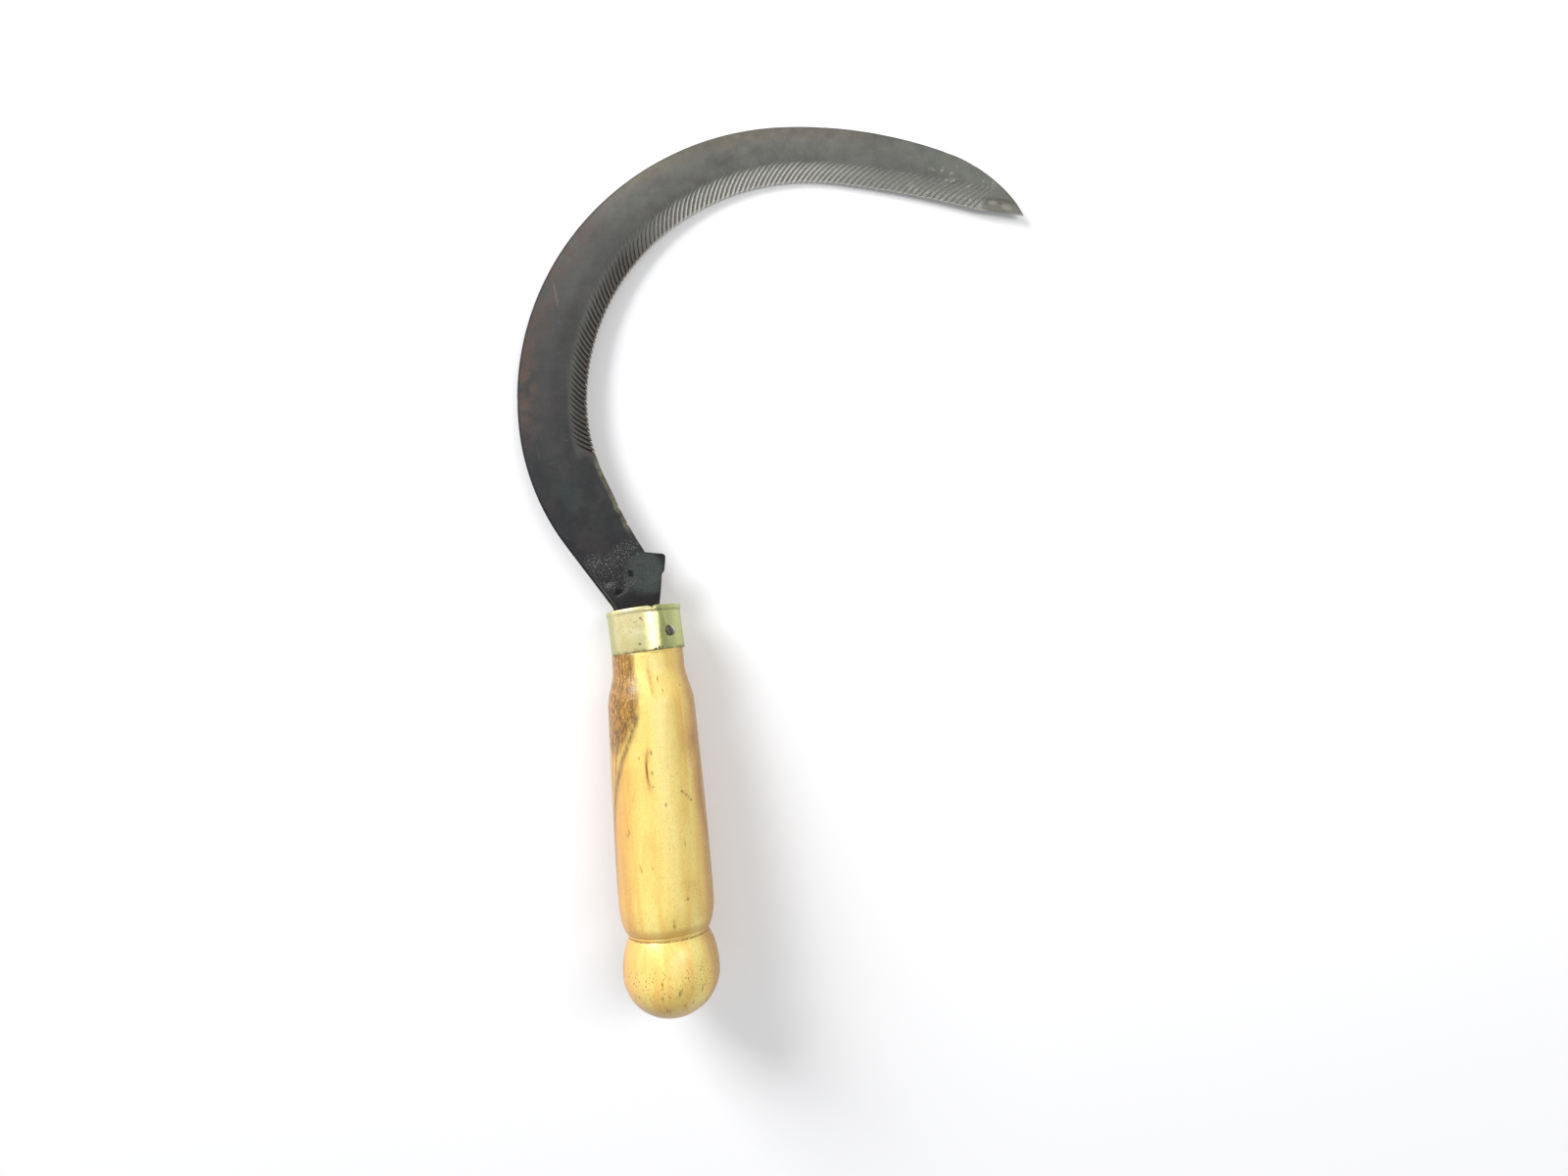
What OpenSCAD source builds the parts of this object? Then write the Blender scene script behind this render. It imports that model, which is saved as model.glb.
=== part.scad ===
// Serrated hand sickle: a toothed crescent blade with its tang in a turned wooden handle,
// a brass ferrule round the handle's neck and one nail through the ferrule. Millimetres, +Z up.
// The tool is drawn with the handle's axis along Y and the blade's plate in the XY plane,
// and is then laid down as it rests on a table: on the ferrule's rim and the blade's back.

/* [Blade] */
// Thickness of the blade's plate
blade_t = 1.6; // [1.2:0.1:2.4]
// Radius of the crescent's back, its outer edge
back_r = 96.7; // [85:0.5:110]
// Blade width at the belly, on the left
belly_w = 24.3; // [20:0.1:28]
// Blade width at the crown, opposite the handle
crown_w = 20.3; // [16:0.1:22]
// Radius of the toothed edge along the main arc
edge_r = 78; // [74:0.5:82]
// Radius of the toothed edge near the heel
heel_edge_r = 66; // [56:1:74]
// Radius of the back from the crown to the toe
toe_back_r = 150; // [130:5:200]
// Radius of the back round the nose
nose_r = 53; // [45:1:60]
// Radius of the toothed edge along the toe
toe_edge_r = 380; // [300:10:600]
// Thickness left at the very edge
edge_t = 0.35; // [0.3:0.05:0.6]
// Width of the honed bevel along the edge
hone_w = 3.5; // [2.5:0.1:4.5]
// Plate thickness at the top of the honed bevel
hone_t = 1.05; // [0.8:0.05:1.15]
// Width of the shallow taper behind the honed bevel
taper_w = 9; // [7:0.5:12]
// Chamfer along the back
back_chamfer = 0.4; // [0.2:0.05:0.6]

/* [Teeth] */
// Distance from groove to groove along the main edge
tooth_pitch = 1.86; // [1.7:0.02:2.4]
// Distance from groove to groove along the toe
toe_pitch = 2.15; // [1.9:0.05:2.8]
// How far the grooves reach back from the edge
tooth_band = 7.4; // [5:0.1:8]
// Lean of the grooves towards the toe, from square to the edge
tooth_lean = 32; // [20:1:38]
// How far the groove's floor lies under the underside at the edge
tooth_bite = 0.12; // [0.05:0.01:0.2]
// Lean of the groove's steep wall from upright
steep_wall = 20; // [10:1:25]
// Lean of the groove's shallow wall from upright
shallow_wall = 65; // [50:1:67]

/* [Heel and tang] */
// Width of the heel block at its top corner
heel_w = 6; // [5:0.1:8]
// Height of the heel block's top corner above the ferrule's mouth
heel_h = 19.4; // [17:0.1:22]
// How far the heel block stands out to the right of the neck
heel_out = 3.4; // [2.5:0.1:4.5]
// Height of the heel block's right side, down to its lower corner
heel_side = 7; // [5:0.1:9]
// Wear of the heel block's corners
heel_nip = 0.9; // [0.5:0.1:1.2]
// Width of the neck at the ferrule's mouth
neck_w = 15.8; // [15.4:0.1:17]
// How far the middle of the neck lies left of the handle's axis
neck_shift = 2.6; // [1.5:0.1:3]
// Length of the back's straight foot, from the neck up to the back's lower arc
foot_len = 27.2; // [22:0.2:34]
// Radius of the back's lower arc, between the straight foot and the crescent's own
tail_r = 86; // [76:0.5:92]
// Length of the tang in the wood
tang_len = 66; // [45:1:90]
// Width of the tang at its root
tang_w = 8.4; // [6:0.1:9.6]
// Width of the tang at its point
tang_tip_w = 3; // [2:0.1:5]
// Thickness of the tang
tang_t = 1.4; // [1:0.1:2.2]

/* [Handle] */
// Length of the wooden handle
handle_len = 136; // [120:1:170]
// Diameter of the handle's neck under the ferrule
neck_d = 24.4; // [23:0.1:27]
// Diameter at the shoulder
shoulder_d = 29.4; // [28:0.1:31]
// Diameter at the widest part of the grip
grip_d = 32; // [31:0.1:36]
// Diameter at the bottom of the turned groove
groove_d = 26.2; // [22:0.1:29]
// Diameter of the pommel
pommel_d = 32.4; // [30:0.1:36]
// Length of the straight neck
neck_len = 19; // [17:0.5:24]
// Distance from the mouth to the shoulder
shoulder_y = 33; // [28:0.5:40]
// Distance from the butt up to the widest part of the grip
grip_from_butt = 38.6; // [34:0.2:44]
// Distance from the butt up to the turned groove
groove_from_butt = 26.4; // [22:0.2:30]
// Distance from the butt up to the widest part of the pommel
pommel_from_butt = 14.8; // [12:0.2:18]
// Diameter of the flat on the butt
butt_flat_d = 9; // [6:0.5:14]

/* [Ferrule and nail] */
// Outer diameter of the ferrule
ferrule_d = 25; // [24.5:0.1:26]
// Wall of the ferrule
ferrule_wall = 0.8; // [0.6:0.05:1.2]
// Length of the ferrule
ferrule_len = 15; // [12:0.1:18]
// How far the ferrule sits askew on the handle, in degrees
ferrule_skew = 3.2; // [0:0.1:4]
// Swelling of the ferrule's rolled rim
rim_roll = 0.35; // [0.2:0.05:0.5]
// Depth of the flat hammered into the ferrule's side
dent_depth = 0.3; // [0.1:0.05:0.4]
// Diameter of the nail's head
nail_head_d = 3.5; // [3:0.1:4.5]
// Height of the nail's head
nail_head_h = 0.7; // [0.5:0.05:1]
// Diameter of the nail's shank
nail_d = 1.8; // [1.4:0.1:2.2]
// Length of the nail under its head
nail_len = 8; // [6:0.5:9]
// Distance from the ferrule's mouth down to the nail
nail_y = 9; // [7:0.1:11]
// Turn of the nail round the handle from straight up towards the right
nail_turn = 50; // [35:1:65]

/* [Fits] */
// Clearance between the ferrule and its seat
seat_gap = 0.1; // [0.05:0.05:0.3]
// Clearance round the tang in its slot
tang_gap = 0.15; // [0.1:0.05:0.4]
// Clearance round the nail's shank
nail_gap = 0.05; // [0.05:0.05:0.2]

/* [Hidden] */
$fn = 96;
// Slack that lets cutting shapes pass through a surface
pass = 2;
// How far cutting shapes reach out past the blade's edge, and how high they stand
past_edge = 5 * blade_t;
// Depth under the plate's faces at which the cores between its shares lie
skin = 0.02;
// The neck's shoulders stand on the wood's end, a little under the ferrule's rim, and its sides
// run straight up to this level, just above the ferrule's mouth
wood_top = -0.6;
neck_y = 0.9;
neck_left = -neck_shift - neck_w / 2;
neck_right = neck_left + neck_w;
heel_right = neck_right + heel_out;
heel_corner = [heel_right - heel_nip - heel_w, heel_h];
// From the neck the back runs up its straight foot, turns into its lower arc at the first angle
// and into the crescent's arc at the second
back_to = 212.8;
tail_from = 184;
back_way = [sin(back_to), -cos(back_to)];
back_foot = [neck_left, neck_y] + foot_len * back_way;
tail_c = on_arc(back_foot, -tail_r, back_to);
crescent_c = arc_inside(tail_c, tail_r, back_r, tail_from);
// Angle at which the back starts to flatten towards the toe, and where the nose's arc begins and ends
toe_from = 87;
nose_from = 64;
nose_to = 25.5;
// Centre of the toothed edge's main arc, from the two blade widths
edge_c = crescent_c + [belly_w + edge_r - back_r, back_r - crown_w - edge_r];
// Angle at which the heel's tighter arc meets the main arc, and the angle where it ends
heel_from = 175.25;
heel_to = 204.25;
teeth_to = 192.8;
// Angle at which the main arc meets the toe's arc
toe_edge_from = 77.95;
heel_arc = arc_inside(edge_c, edge_r, heel_edge_r, heel_from);
toe_edge_c = arc_inside(edge_c, edge_r, toe_edge_r, toe_edge_from);
toe_back_c = arc_inside(crescent_c, back_r, toe_back_r, toe_from);
nose_c = arc_inside(toe_back_c, toe_back_r, nose_r, nose_from);
tip = on_arc(nose_c, nose_r, nose_to);
// The toothed edge ends where its arc has come level with a line from the tip
toe_edge_to = 70.2;
toe_corner = on_arc(toe_edge_c, toe_edge_r, toe_edge_to);
heel_foot = on_arc(heel_arc, heel_edge_r, heel_to);
toe_way = (tip - toe_corner) / norm(tip - toe_corner);
// Lines across the plate, each from the empty middle outwards: short of the tip, where the edge's
// arcs meet, and beside the neck
near_tip = across(edge_c, -10);
toe_line = across(edge_c, toe_edge_from);
main_line = across(edge_c, heel_from);
heel_line = across(heel_arc, heel_to);
neck_line = across(heel_arc, 290);
seat_r = ferrule_d / 2 - ferrule_wall;
// Rise of the taper, and the corners of the two planes in which the bevels run out at the heel
taper_rise = (blade_t - hone_t) / taper_w;
run_in = [cos(heel_to), sin(heel_to), 0];
run_0 = [heel_foot[0], heel_foot[1], -blade_t / 2 + edge_t];
run_1 = run_0 + hone_w * run_in + [0, 0, hone_t - edge_t];
run_2 = run_1 + taper_w * run_in + [0, 0, blade_t - hone_t];
run_end = [heel_corner[0], heel_corner[1], blade_t / 2];
// Slope of the groove's floor, which comes up through the surface at the band's far side
band_surface = hone_t + (blade_t - hone_t) * (tooth_band - hone_w) / taper_w;
groove_slope = atan((band_surface + tooth_bite) / (tooth_band / cos(tooth_lean)));
groove_reach = tooth_band / cos(tooth_lean) / cos(groove_slope);

// A circle of radius r2 that touches the circle (c, r) from the same side at angle a
function arc_inside(c, r, r2, a) = c + (r - r2) * [cos(a), sin(a)];
function on_arc(c, r, a) = c + r * [cos(a), sin(a)];
function across(c, a) = [on_arc(c, edge_r / 4, a), on_arc(c, 3 * back_r, a)];
function arc_points(c, r, a0, a1, n) = [for (i = [0:n]) on_arc(c, r, a0 + (a1 - a0) * i / n)];

// Angles of the grooves along one arc, spaced by the pitch
function groove_angles(r, a0, a1, pitch) =
    let (n = round(r * (a0 - a1) * PI / 180 / pitch))
    [for (i = [0:n - 1]) a0 - (a0 - a1) * (i + 0.5) / n];

// Turned profile of the handle, as [distance from the butt along the axis, radius]
pommel_len = pommel_from_butt / sqrt(1 - pow(butt_flat_d / pommel_d, 2));
shoulder_z = handle_len - shoulder_y;
neck_z = handle_len - neck_len;
function butt_arc(n) = [for (i = [0:n])
    let (a = asin(pommel_from_butt / pommel_len) * (1 - i / n))
    [pommel_from_butt - pommel_len * sin(a), pommel_d / 2 * cos(a)]];
function pommel_rise(n) = [for (i = [1:n])
    let (s = sin(90 * i / n))
    [pommel_from_butt + (groove_from_butt - pommel_from_butt) * s,
     groove_d / 2 + (pommel_d - groove_d) / 2 * pow(max(0, 1 - s * s), 0.8)]];
function grip_fall(n) = [for (i = [1:n])
    let (s = cos(90 * i / n))
    [grip_from_butt - (grip_from_butt - groove_from_butt) * s,
     groove_d / 2 + (grip_d - groove_d) / 2 * pow(max(0, 1 - s * s), 0.7)]];
function grip_side(n) = [for (i = [1:n])
    let (s = 1 - i / n)
    [shoulder_z - (shoulder_z - grip_from_butt) * s,
     shoulder_d / 2 + (grip_d - shoulder_d) / 2 * sin(90 * s)]];
function shoulder_fall(n) = [for (i = [1:n])
    [shoulder_z + (neck_z - shoulder_z) * i / n,
     neck_d / 2 + (shoulder_d - neck_d) / 2 * (0.5 + 0.5 * cos(180 * i / n))]];
turned = concat(butt_arc(8), pommel_rise(6), grip_fall(6), grip_side(8), shoulder_fall(8),
                [[handle_len, neck_d / 2]]);

// How the tool lies on a table: the blade drops until the top of its back touches the table,
// as the ferrule's rim or the handle does. Its weight then leaves it level from side to side.
back_points = concat(arc_points(tail_c, tail_r, back_to, tail_from, 40),
                     arc_points(crescent_c, back_r, tail_from, toe_from, 100),
                     arc_points(toe_back_c, toe_back_r, toe_from, nose_from, 60),
                     arc_points(nose_c, nose_r, nose_from, nose_to, 30));
rim_y = 0.8;
rim_r = ferrule_d / 2 + rim_roll;
function handle_low(p) = min(rim_y * sin(p) - rim_r * cos(p),
    min([for (q = turned) -(q[0] - handle_len + wood_top) * sin(p) - q[1] * cos(p)]));
function blade_low(p) = min([for (q = back_points)
    -q[1] * sin(p) - blade_t / 2 * cos(p)]);
function solve_pitch(lo, hi, n) = n == 0 ? (lo + hi) / 2 :
    blade_low((lo + hi) / 2) > handle_low((lo + hi) / 2)
        ? solve_pitch((lo + hi) / 2, hi, n - 1) : solve_pitch(lo, (lo + hi) / 2, n - 1);
pitch = solve_pitch(0, 15, 30);
lift = -handle_low(pitch);
mid_x = (crescent_c[0] - back_r + tip[0]) / 2;
far_end = (crescent_c[1] + back_r) * cos(pitch) + blade_t / 2 * sin(pitch);
near_end = min([for (q = turned) (q[0] - handle_len + wood_top) * cos(pitch) - q[1] * sin(pitch)]);
mid_y = (far_end + near_end) / 2;

// Lays a piece of the tool down as it rests on the table
module laid() {
    translate([-mid_x, -mid_y, lift])
        rotate([-pitch, 0, 0])
            children();
}

// The ferrule's own axis, askew about the middle of its length
module on_ferrule() {
    translate([0, -ferrule_len / 2, 0])
        rotate([0, 0, ferrule_skew])
            translate([0, ferrule_len / 2, 0])
                children();
}

// The nail's axis, with local +Z pointing out of the wood and zero on the ferrule's surface
module on_nail() {
    on_ferrule()
        translate([0, -nail_y, 0])
            rotate([0, nail_turn, 0])
                translate([0, 0, ferrule_d / 2])
                    children();
}

// Section of what is removed at the toothed edge: all beyond it, the honed bevel and the taper
function edge_section(r) = [[r - past_edge, -blade_t / 2 - pass],
                            [r, -blade_t / 2 - pass],
                            [r, -blade_t / 2 + edge_t],
                            [r + hone_w, -blade_t / 2 + hone_t],
                            [r + hone_w + taper_w + pass / taper_rise, blade_t / 2 + pass],
                            [r - past_edge, blade_t / 2 + pass]];

// Cuts an arc of the toothed edge
module edge_cutter(c, r, a0, a1) {
    translate([c[0], c[1], 0])
        rotate([0, 0, a1])
            rotate_extrude(angle = a0 - a1)
                polygon(edge_section(r));
}

// Cuts a straight stretch of the edge, with the blade on the left of the way from p to q
module straight_edge_cutter(p, q, past) {
    d = q - p;
    translate([p[0], p[1], 0])
        rotate([0, 0, atan2(d[1], d[0])])
            translate([-past, 0, 0])
                rotate([90, 0, 90])
                    linear_extrude(height = norm(d) + 2 * past)
                        polygon(edge_section(0));
}

// Cuts away what lies above a plane, from just before point o along it to point q,
// where v is a way across it into the blade
module run_out_cutter(o, q, v) {
    x = (q - o) / norm(q - o);
    w = cross(x, v);
    z = w / norm(w) * (w[2] > 0 ? 1 : -1);
    y = cross(z, x);
    wide = 2 * (hone_w + taper_w);
    multmatrix([[x[0], y[0], z[0], o[0]],
                [x[1], y[1], z[1], o[1]],
                [x[2], y[2], z[2], o[2]],
                [0, 0, 0, 1]])
        translate([-past_edge, y * v > 0 ? -past_edge / 2 : -wide, 0])
            cube([norm(q - o) + past_edge, wide + past_edge / 2, past_edge]);
}

// Removes what lies outside an arc of the back, with the chamfer on its upper side
module back_cutter(c, r, a0, a1) {
    u = blade_t / 2;
    translate([c[0], c[1], 0])
        rotate([0, 0, a1])
            rotate_extrude(angle = a0 - a1)
                polygon([[r, -u - pass],
                         [r, u - back_chamfer],
                         [r - back_chamfer - pass, u + pass],
                         [r + 6, u + pass],
                         [r + 6, -u - pass]]);
}

// Chamfer along the straight foot of the back
module foot_chamfer() {
    translate([back_foot[0], back_foot[1], blade_t / 2 - back_chamfer])
        rotate([0, 0, back_to - 90])
            translate([-foot_len - pass, 0, 0])
                rotate([-45, 0, 0])
                    translate([0, -2 * pass, 0])
                        cube([foot_len + pass + 1, 4 * pass, 2 * pass]);
}

// Grooves along one arc, each a wedge with a steep wall on the toe's side
module grooves(c, r, a0, a1, pitch) {
    h = blade_t + 1;
    for (a = groove_angles(r, a0, a1, pitch))
        translate([c[0] + r * cos(a), c[1] + r * sin(a), -blade_t / 2 - tooth_bite])
            rotate([0, 0, a - tooth_lean])
                rotate([0, -groove_slope, 0])
                    translate([-1.5, 0, 0])
                        rotate([90, 0, 90])
                            linear_extrude(height = groove_reach + 2.5)
                                polygon([[0, 0],
                                         [h * tan(shallow_wall), h],
                                         [-h * tan(steep_wall), h]]);
}

// Outline of the plate before its arcs are cut true. It is a little large along each arc that is
// cut later, and true at the heel where heel_true is set.
function plate_points(heel_true) = concat(
    [[neck_left, wood_top]],
    [[neck_left, neck_y]],
    [back_foot],
    [back_foot + 10 * back_way + 2 * [-back_way[1], back_way[0]]],
    arc_points(tail_c, tail_r + 2, back_to - 10, tail_from + 1, 10),
    arc_points(crescent_c, back_r + 2, tail_from - 1, toe_from, 36),
    arc_points(toe_back_c, toe_back_r + 2, toe_from - 2, nose_from + 2, 6),
    arc_points(nose_c, nose_r + 2, nose_from - 1, nose_to - 3, 8),
    [tip + 2 * toe_way + [0, -2]],
    [toe_corner + [0, -2]],
    arc_points(toe_edge_c, toe_edge_r - 2, toe_edge_to + 0.3, toe_edge_from, 8),
    arc_points(edge_c, edge_r - 2, toe_edge_from + 2, heel_from, 30),
    heel_true
        ? concat(arc_points(heel_arc, heel_edge_r, heel_from + 2, heel_to - 2, 10), [heel_foot])
        : arc_points(heel_arc, heel_edge_r - 2, heel_from + 2, heel_to + 3, 10),
    [heel_corner],
    [[heel_right - 0.7 * heel_nip, heel_h - heel_nip]],
    [[heel_right, heel_h - 1.9 * heel_nip]],
    [[heel_right - 0.9 * heel_nip, heel_h - heel_side]],
    [[heel_right - 1.9 * heel_nip, heel_h - heel_side - heel_nip]],
    [[neck_right, neck_y]],
    [[neck_right, wood_top]]);

// The plate's share between two of the lines across it
module plate_sector(from, to, heel_true) {
    translate([0, 0, -blade_t / 2])
        linear_extrude(height = blade_t)
            intersection() {
                polygon(plate_points(heel_true));
                polygon([from[0], from[1], to[1], to[0]]);
            }
}

// A short core under the plate's skin, from one of its shares into the next, so that they join up
module core(c, r, a, width) {
    translate([c[0], c[1], 0])
        rotate([90, 0, a])
            translate([0, 0, -pass / 2])
                linear_extrude(height = pass)
                    polygon([[r + 2 * skin, -blade_t / 2 + skin],
                             [r + 2 * skin, -blade_t / 2 + edge_t - skin],
                             [r + hone_w, -blade_t / 2 + hone_t - skin],
                             [r + hone_w + taper_w, blade_t / 2 - skin],
                             [r + width, blade_t / 2 - skin],
                             [r + width, -blade_t / 2 + skin]]);
}

// The plate's shares, each with its own stretch of the edge cut
module blade_sectors() {
    core(edge_c, edge_r, toe_edge_from, crown_w);
    core(edge_c, edge_r, heel_from, belly_w);
    core(heel_arc, heel_edge_r, heel_to, belly_w);
    difference() {
        plate_sector(near_tip, toe_line, false);
        edge_cutter(toe_edge_c, toe_edge_r, toe_edge_from + 1, toe_edge_to - 2);
        straight_edge_cutter(toe_corner, tip, 6);
    }
    difference() {
        plate_sector(toe_line, main_line, false);
        edge_cutter(edge_c, edge_r, heel_from + 4, toe_edge_from - 4);
    }
    difference() {
        plate_sector(main_line, heel_line, false);
        edge_cutter(heel_arc, heel_edge_r, heel_to + 4, heel_from - 4);
    }
    // Towards the heel corner both bevels run out to the plate's full thickness
    difference() {
        plate_sector(heel_line, neck_line, true);
        run_out_cutter(run_0, run_end, run_1 - run_0);
        run_out_cutter(run_1, run_end, run_2 - run_1);
    }
}

module blade() {
    color([0.32, 0.33, 0.31])
        laid()
            union() {
                difference() {
                    union() {
                        blade_sectors();
                    }
                    back_cutter(tail_c, tail_r, back_to, tail_from);
                    back_cutter(crescent_c, back_r, tail_from + 1, toe_from);
                    back_cutter(toe_back_c, toe_back_r, toe_from + 1, nose_from - 1);
                    back_cutter(nose_c, nose_r, nose_from, nose_to - 10);
                    foot_chamfer();
                    grooves(heel_arc, heel_edge_r, teeth_to, heel_from, tooth_pitch);
                    grooves(edge_c, edge_r, heel_from, toe_edge_from, tooth_pitch);
                    grooves(toe_edge_c, toe_edge_r, toe_edge_from, toe_edge_to, toe_pitch);
                }
                tang();
            }
}

module tang() {
    translate([0, 0, -tang_t / 2])
        linear_extrude(height = tang_t)
            polygon([[-tang_w / 2, wood_top + 1],
                     [-tang_w / 2, wood_top],
                     [-tang_tip_w / 2, wood_top - tang_len + tang_tip_w],
                     [0, wood_top - tang_len],
                     [tang_tip_w / 2, wood_top - tang_len + tang_tip_w],
                     [tang_w / 2, wood_top],
                     [tang_w / 2, wood_top + 1]]);
}

module tang_slot() {
    g = tang_gap;
    translate([0, 0, -tang_t / 2 - g])
        linear_extrude(height = tang_t + 2 * g)
            polygon([[-tang_w / 2 - g, wood_top + pass],
                     [-tang_w / 2 - g, wood_top],
                     [-tang_tip_w / 2 - g, wood_top - tang_len + tang_tip_w - g],
                     [0, wood_top - tang_len - 2 * g],
                     [tang_tip_w / 2 + g, wood_top - tang_len + tang_tip_w - g],
                     [tang_w / 2 + g, wood_top],
                     [tang_w / 2 + g, wood_top + pass]]);
}

module handle() {
    color([0.86, 0.66, 0.36])
        laid()
            difference() {
                translate([0, wood_top - handle_len, 0])
                    rotate([-90, 0, 0])
                        rotate_extrude()
                            polygon(concat([[0, 0]],
                                           [for (q = turned) [q[1], q[0]]],
                                           [[0, handle_len]]));
                seat_cutter();
                tang_slot();
                on_nail()
                    translate([0, 0, -nail_len - 0.6])
                        cylinder(d = nail_d + 2 * nail_gap, h = nail_len + pass);
            }
}

// Turns the ferrule's seat on the neck, down to where the ferrule's lower end stands
module seat_cutter() {
    on_ferrule()
        translate([0, -ferrule_len, 0])
            rotate([-90, 0, 0])
                difference() {
                    cylinder(r = ferrule_d, h = ferrule_len + 3);
                    translate([0, 0, -1])
                        cylinder(r = seat_r - seat_gap, h = ferrule_len + 5);
                }
}

module ferrule() {
    color([0.78, 0.66, 0.35])
        laid()
            difference() {
                on_ferrule()
                    translate([0, -ferrule_len, 0])
                        rotate([-90, 0, 0])
                            rotate_extrude()
                                polygon([[seat_r, 0],
                                         [ferrule_d / 2 - 0.2, 0],
                                         [ferrule_d / 2, 0.25],
                                         [ferrule_d / 2, ferrule_len - 1.9],
                                         [ferrule_d / 2 + rim_roll * 0.7, ferrule_len - 1.4],
                                         [rim_r, ferrule_len - rim_y],
                                         [ferrule_d / 2 + rim_roll * 0.6, ferrule_len - 0.25],
                                         [ferrule_d / 2 - 0.15, ferrule_len],
                                         [seat_r + 0.2, ferrule_len],
                                         [seat_r, ferrule_len - 0.25]]);
                on_nail()
                    translate([-8, -ferrule_len / 2 - 2, -dent_depth])
                        cube([16, ferrule_len + 4, 3]);
                on_nail()
                    translate([0, 0, -ferrule_wall - pass])
                        cylinder(d = nail_d + 2 * nail_gap, h = ferrule_wall + 2 * pass);
            }
}

module nail() {
    color([0.35, 0.35, 0.36])
        laid()
            on_nail()
                translate([0, 0, -dent_depth])
                    union() {
                        translate([0, 0, -nail_len + nail_d])
                            cylinder(d = nail_d, h = nail_len - nail_d + 0.1);
                        translate([0, 0, -nail_len])
                            cylinder(d1 = 0.4, d2 = nail_d, h = nail_d);
                        rotate_extrude()
                            polygon([[0, 0],
                                     [nail_head_d / 2 - 0.1, 0],
                                     [nail_head_d / 2, nail_head_h * 0.3],
                                     [nail_head_d / 2 - 0.25, nail_head_h * 0.7],
                                     [nail_head_d / 2 - 0.7, nail_head_h * 0.93],
                                     [0, nail_head_h]]);
                    }
}

blade();
handle();
ferrule();
nail();
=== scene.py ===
"""Serrated hand sickle, dressed for the camera: a finer mesh and a node material for each piece.

Everything is drawn in the tool's frame, in mm: the handle's axis along Y, the ferrule's mouth at
Y = 0 and the blade's plate in the XY plane. lay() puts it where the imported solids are.
"""
import functools
import math
import bpy
import mathutils
import numpy as np
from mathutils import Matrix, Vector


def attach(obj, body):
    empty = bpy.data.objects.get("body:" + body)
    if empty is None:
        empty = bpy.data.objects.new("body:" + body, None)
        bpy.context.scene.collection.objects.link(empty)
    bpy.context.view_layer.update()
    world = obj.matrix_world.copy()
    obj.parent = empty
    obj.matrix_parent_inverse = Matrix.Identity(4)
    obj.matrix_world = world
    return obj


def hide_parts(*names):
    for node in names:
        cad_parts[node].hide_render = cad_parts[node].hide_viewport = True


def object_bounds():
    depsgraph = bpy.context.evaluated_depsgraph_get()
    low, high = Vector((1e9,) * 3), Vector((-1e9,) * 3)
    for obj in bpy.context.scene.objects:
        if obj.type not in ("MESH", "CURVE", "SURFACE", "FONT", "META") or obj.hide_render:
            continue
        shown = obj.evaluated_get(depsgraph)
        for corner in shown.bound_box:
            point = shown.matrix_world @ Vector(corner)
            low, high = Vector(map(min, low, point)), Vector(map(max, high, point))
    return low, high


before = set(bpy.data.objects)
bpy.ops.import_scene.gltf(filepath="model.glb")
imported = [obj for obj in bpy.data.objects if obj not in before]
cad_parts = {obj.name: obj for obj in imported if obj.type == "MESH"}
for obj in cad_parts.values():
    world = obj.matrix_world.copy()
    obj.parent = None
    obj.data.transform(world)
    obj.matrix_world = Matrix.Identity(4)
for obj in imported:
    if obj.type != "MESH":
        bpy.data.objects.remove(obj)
cad_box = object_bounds()

# Driving sizes of the blade, as in the part's source
BLADE_T = 1.6
EDGE_T = 0.35
HONE_W = 3.5
HONE_T = 1.05
TAPER_W = 9.0
BACK_CHAMFER = 0.4
BACK_R = 96.7
TAIL_R = 86.0
TOE_BACK_R = 150.0
NOSE_R = 53.0
EDGE_R = 78.0
HEEL_R = 66.0
TOE_R = 380.0
BELLY_W = 24.3
CROWN_W = 20.3
FOOT_LEN = 27.2
NECK_Y = 0.9
NECK_W = 15.8
NECK_SHIFT = 2.6
HEEL_W = 6.0
HEEL_H = 19.4
HEEL_OUT = 3.4
HEEL_NIP = 0.9
TOOTH_PITCH = 1.86
TOE_PITCH = 2.15
# Angles, in degrees, at which the back's arcs and the toothed edge's arcs meet
BACK_TO = 212.8
TAIL_FROM = 184.0
TOE_FROM = 87.0
NOSE_FROM = 64.0
NOSE_TO = 25.5
HEEL_TO = 204.25
TEETH_TO = 192.8
HEEL_FROM = 175.25
TOE_EDGE_FROM = 77.95
TOE_EDGE_TO = 70.2
# Driving sizes of the handle. A z on the handle is a distance from the butt.
HANDLE_L = 136.0
WOOD_TOP = -0.6
POMMEL_R = 16.2
POMMEL_Z = 14.8
BUTT_FLAT_R = 4.5
WAIST_R = 13.1
WAIST_Z = 27.3
GRIP_R = 16.0
GRIP_Z = 38.6
SHOULDER_R = 14.7
SHOULDER_Z = 103.0
WOOD_NECK_R = 12.2
WOOD_NECK_Z = 117.0
# Driving sizes of the ferrule and the nail
FERRULE_R = 12.5
SEAT_R = 11.7
FERRULE_L = 15.0
SKEW = math.radians(3.2)
RIM_Y = 0.8
RIM_ROLL = 0.35
NAIL_Y = 9.0
NAIL_TURN = math.radians(50)


def on_arc(centre, radius, degrees):
    turn = math.radians(degrees)
    return np.array(centre) + radius * np.array([math.cos(turn), math.sin(turn)])


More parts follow.
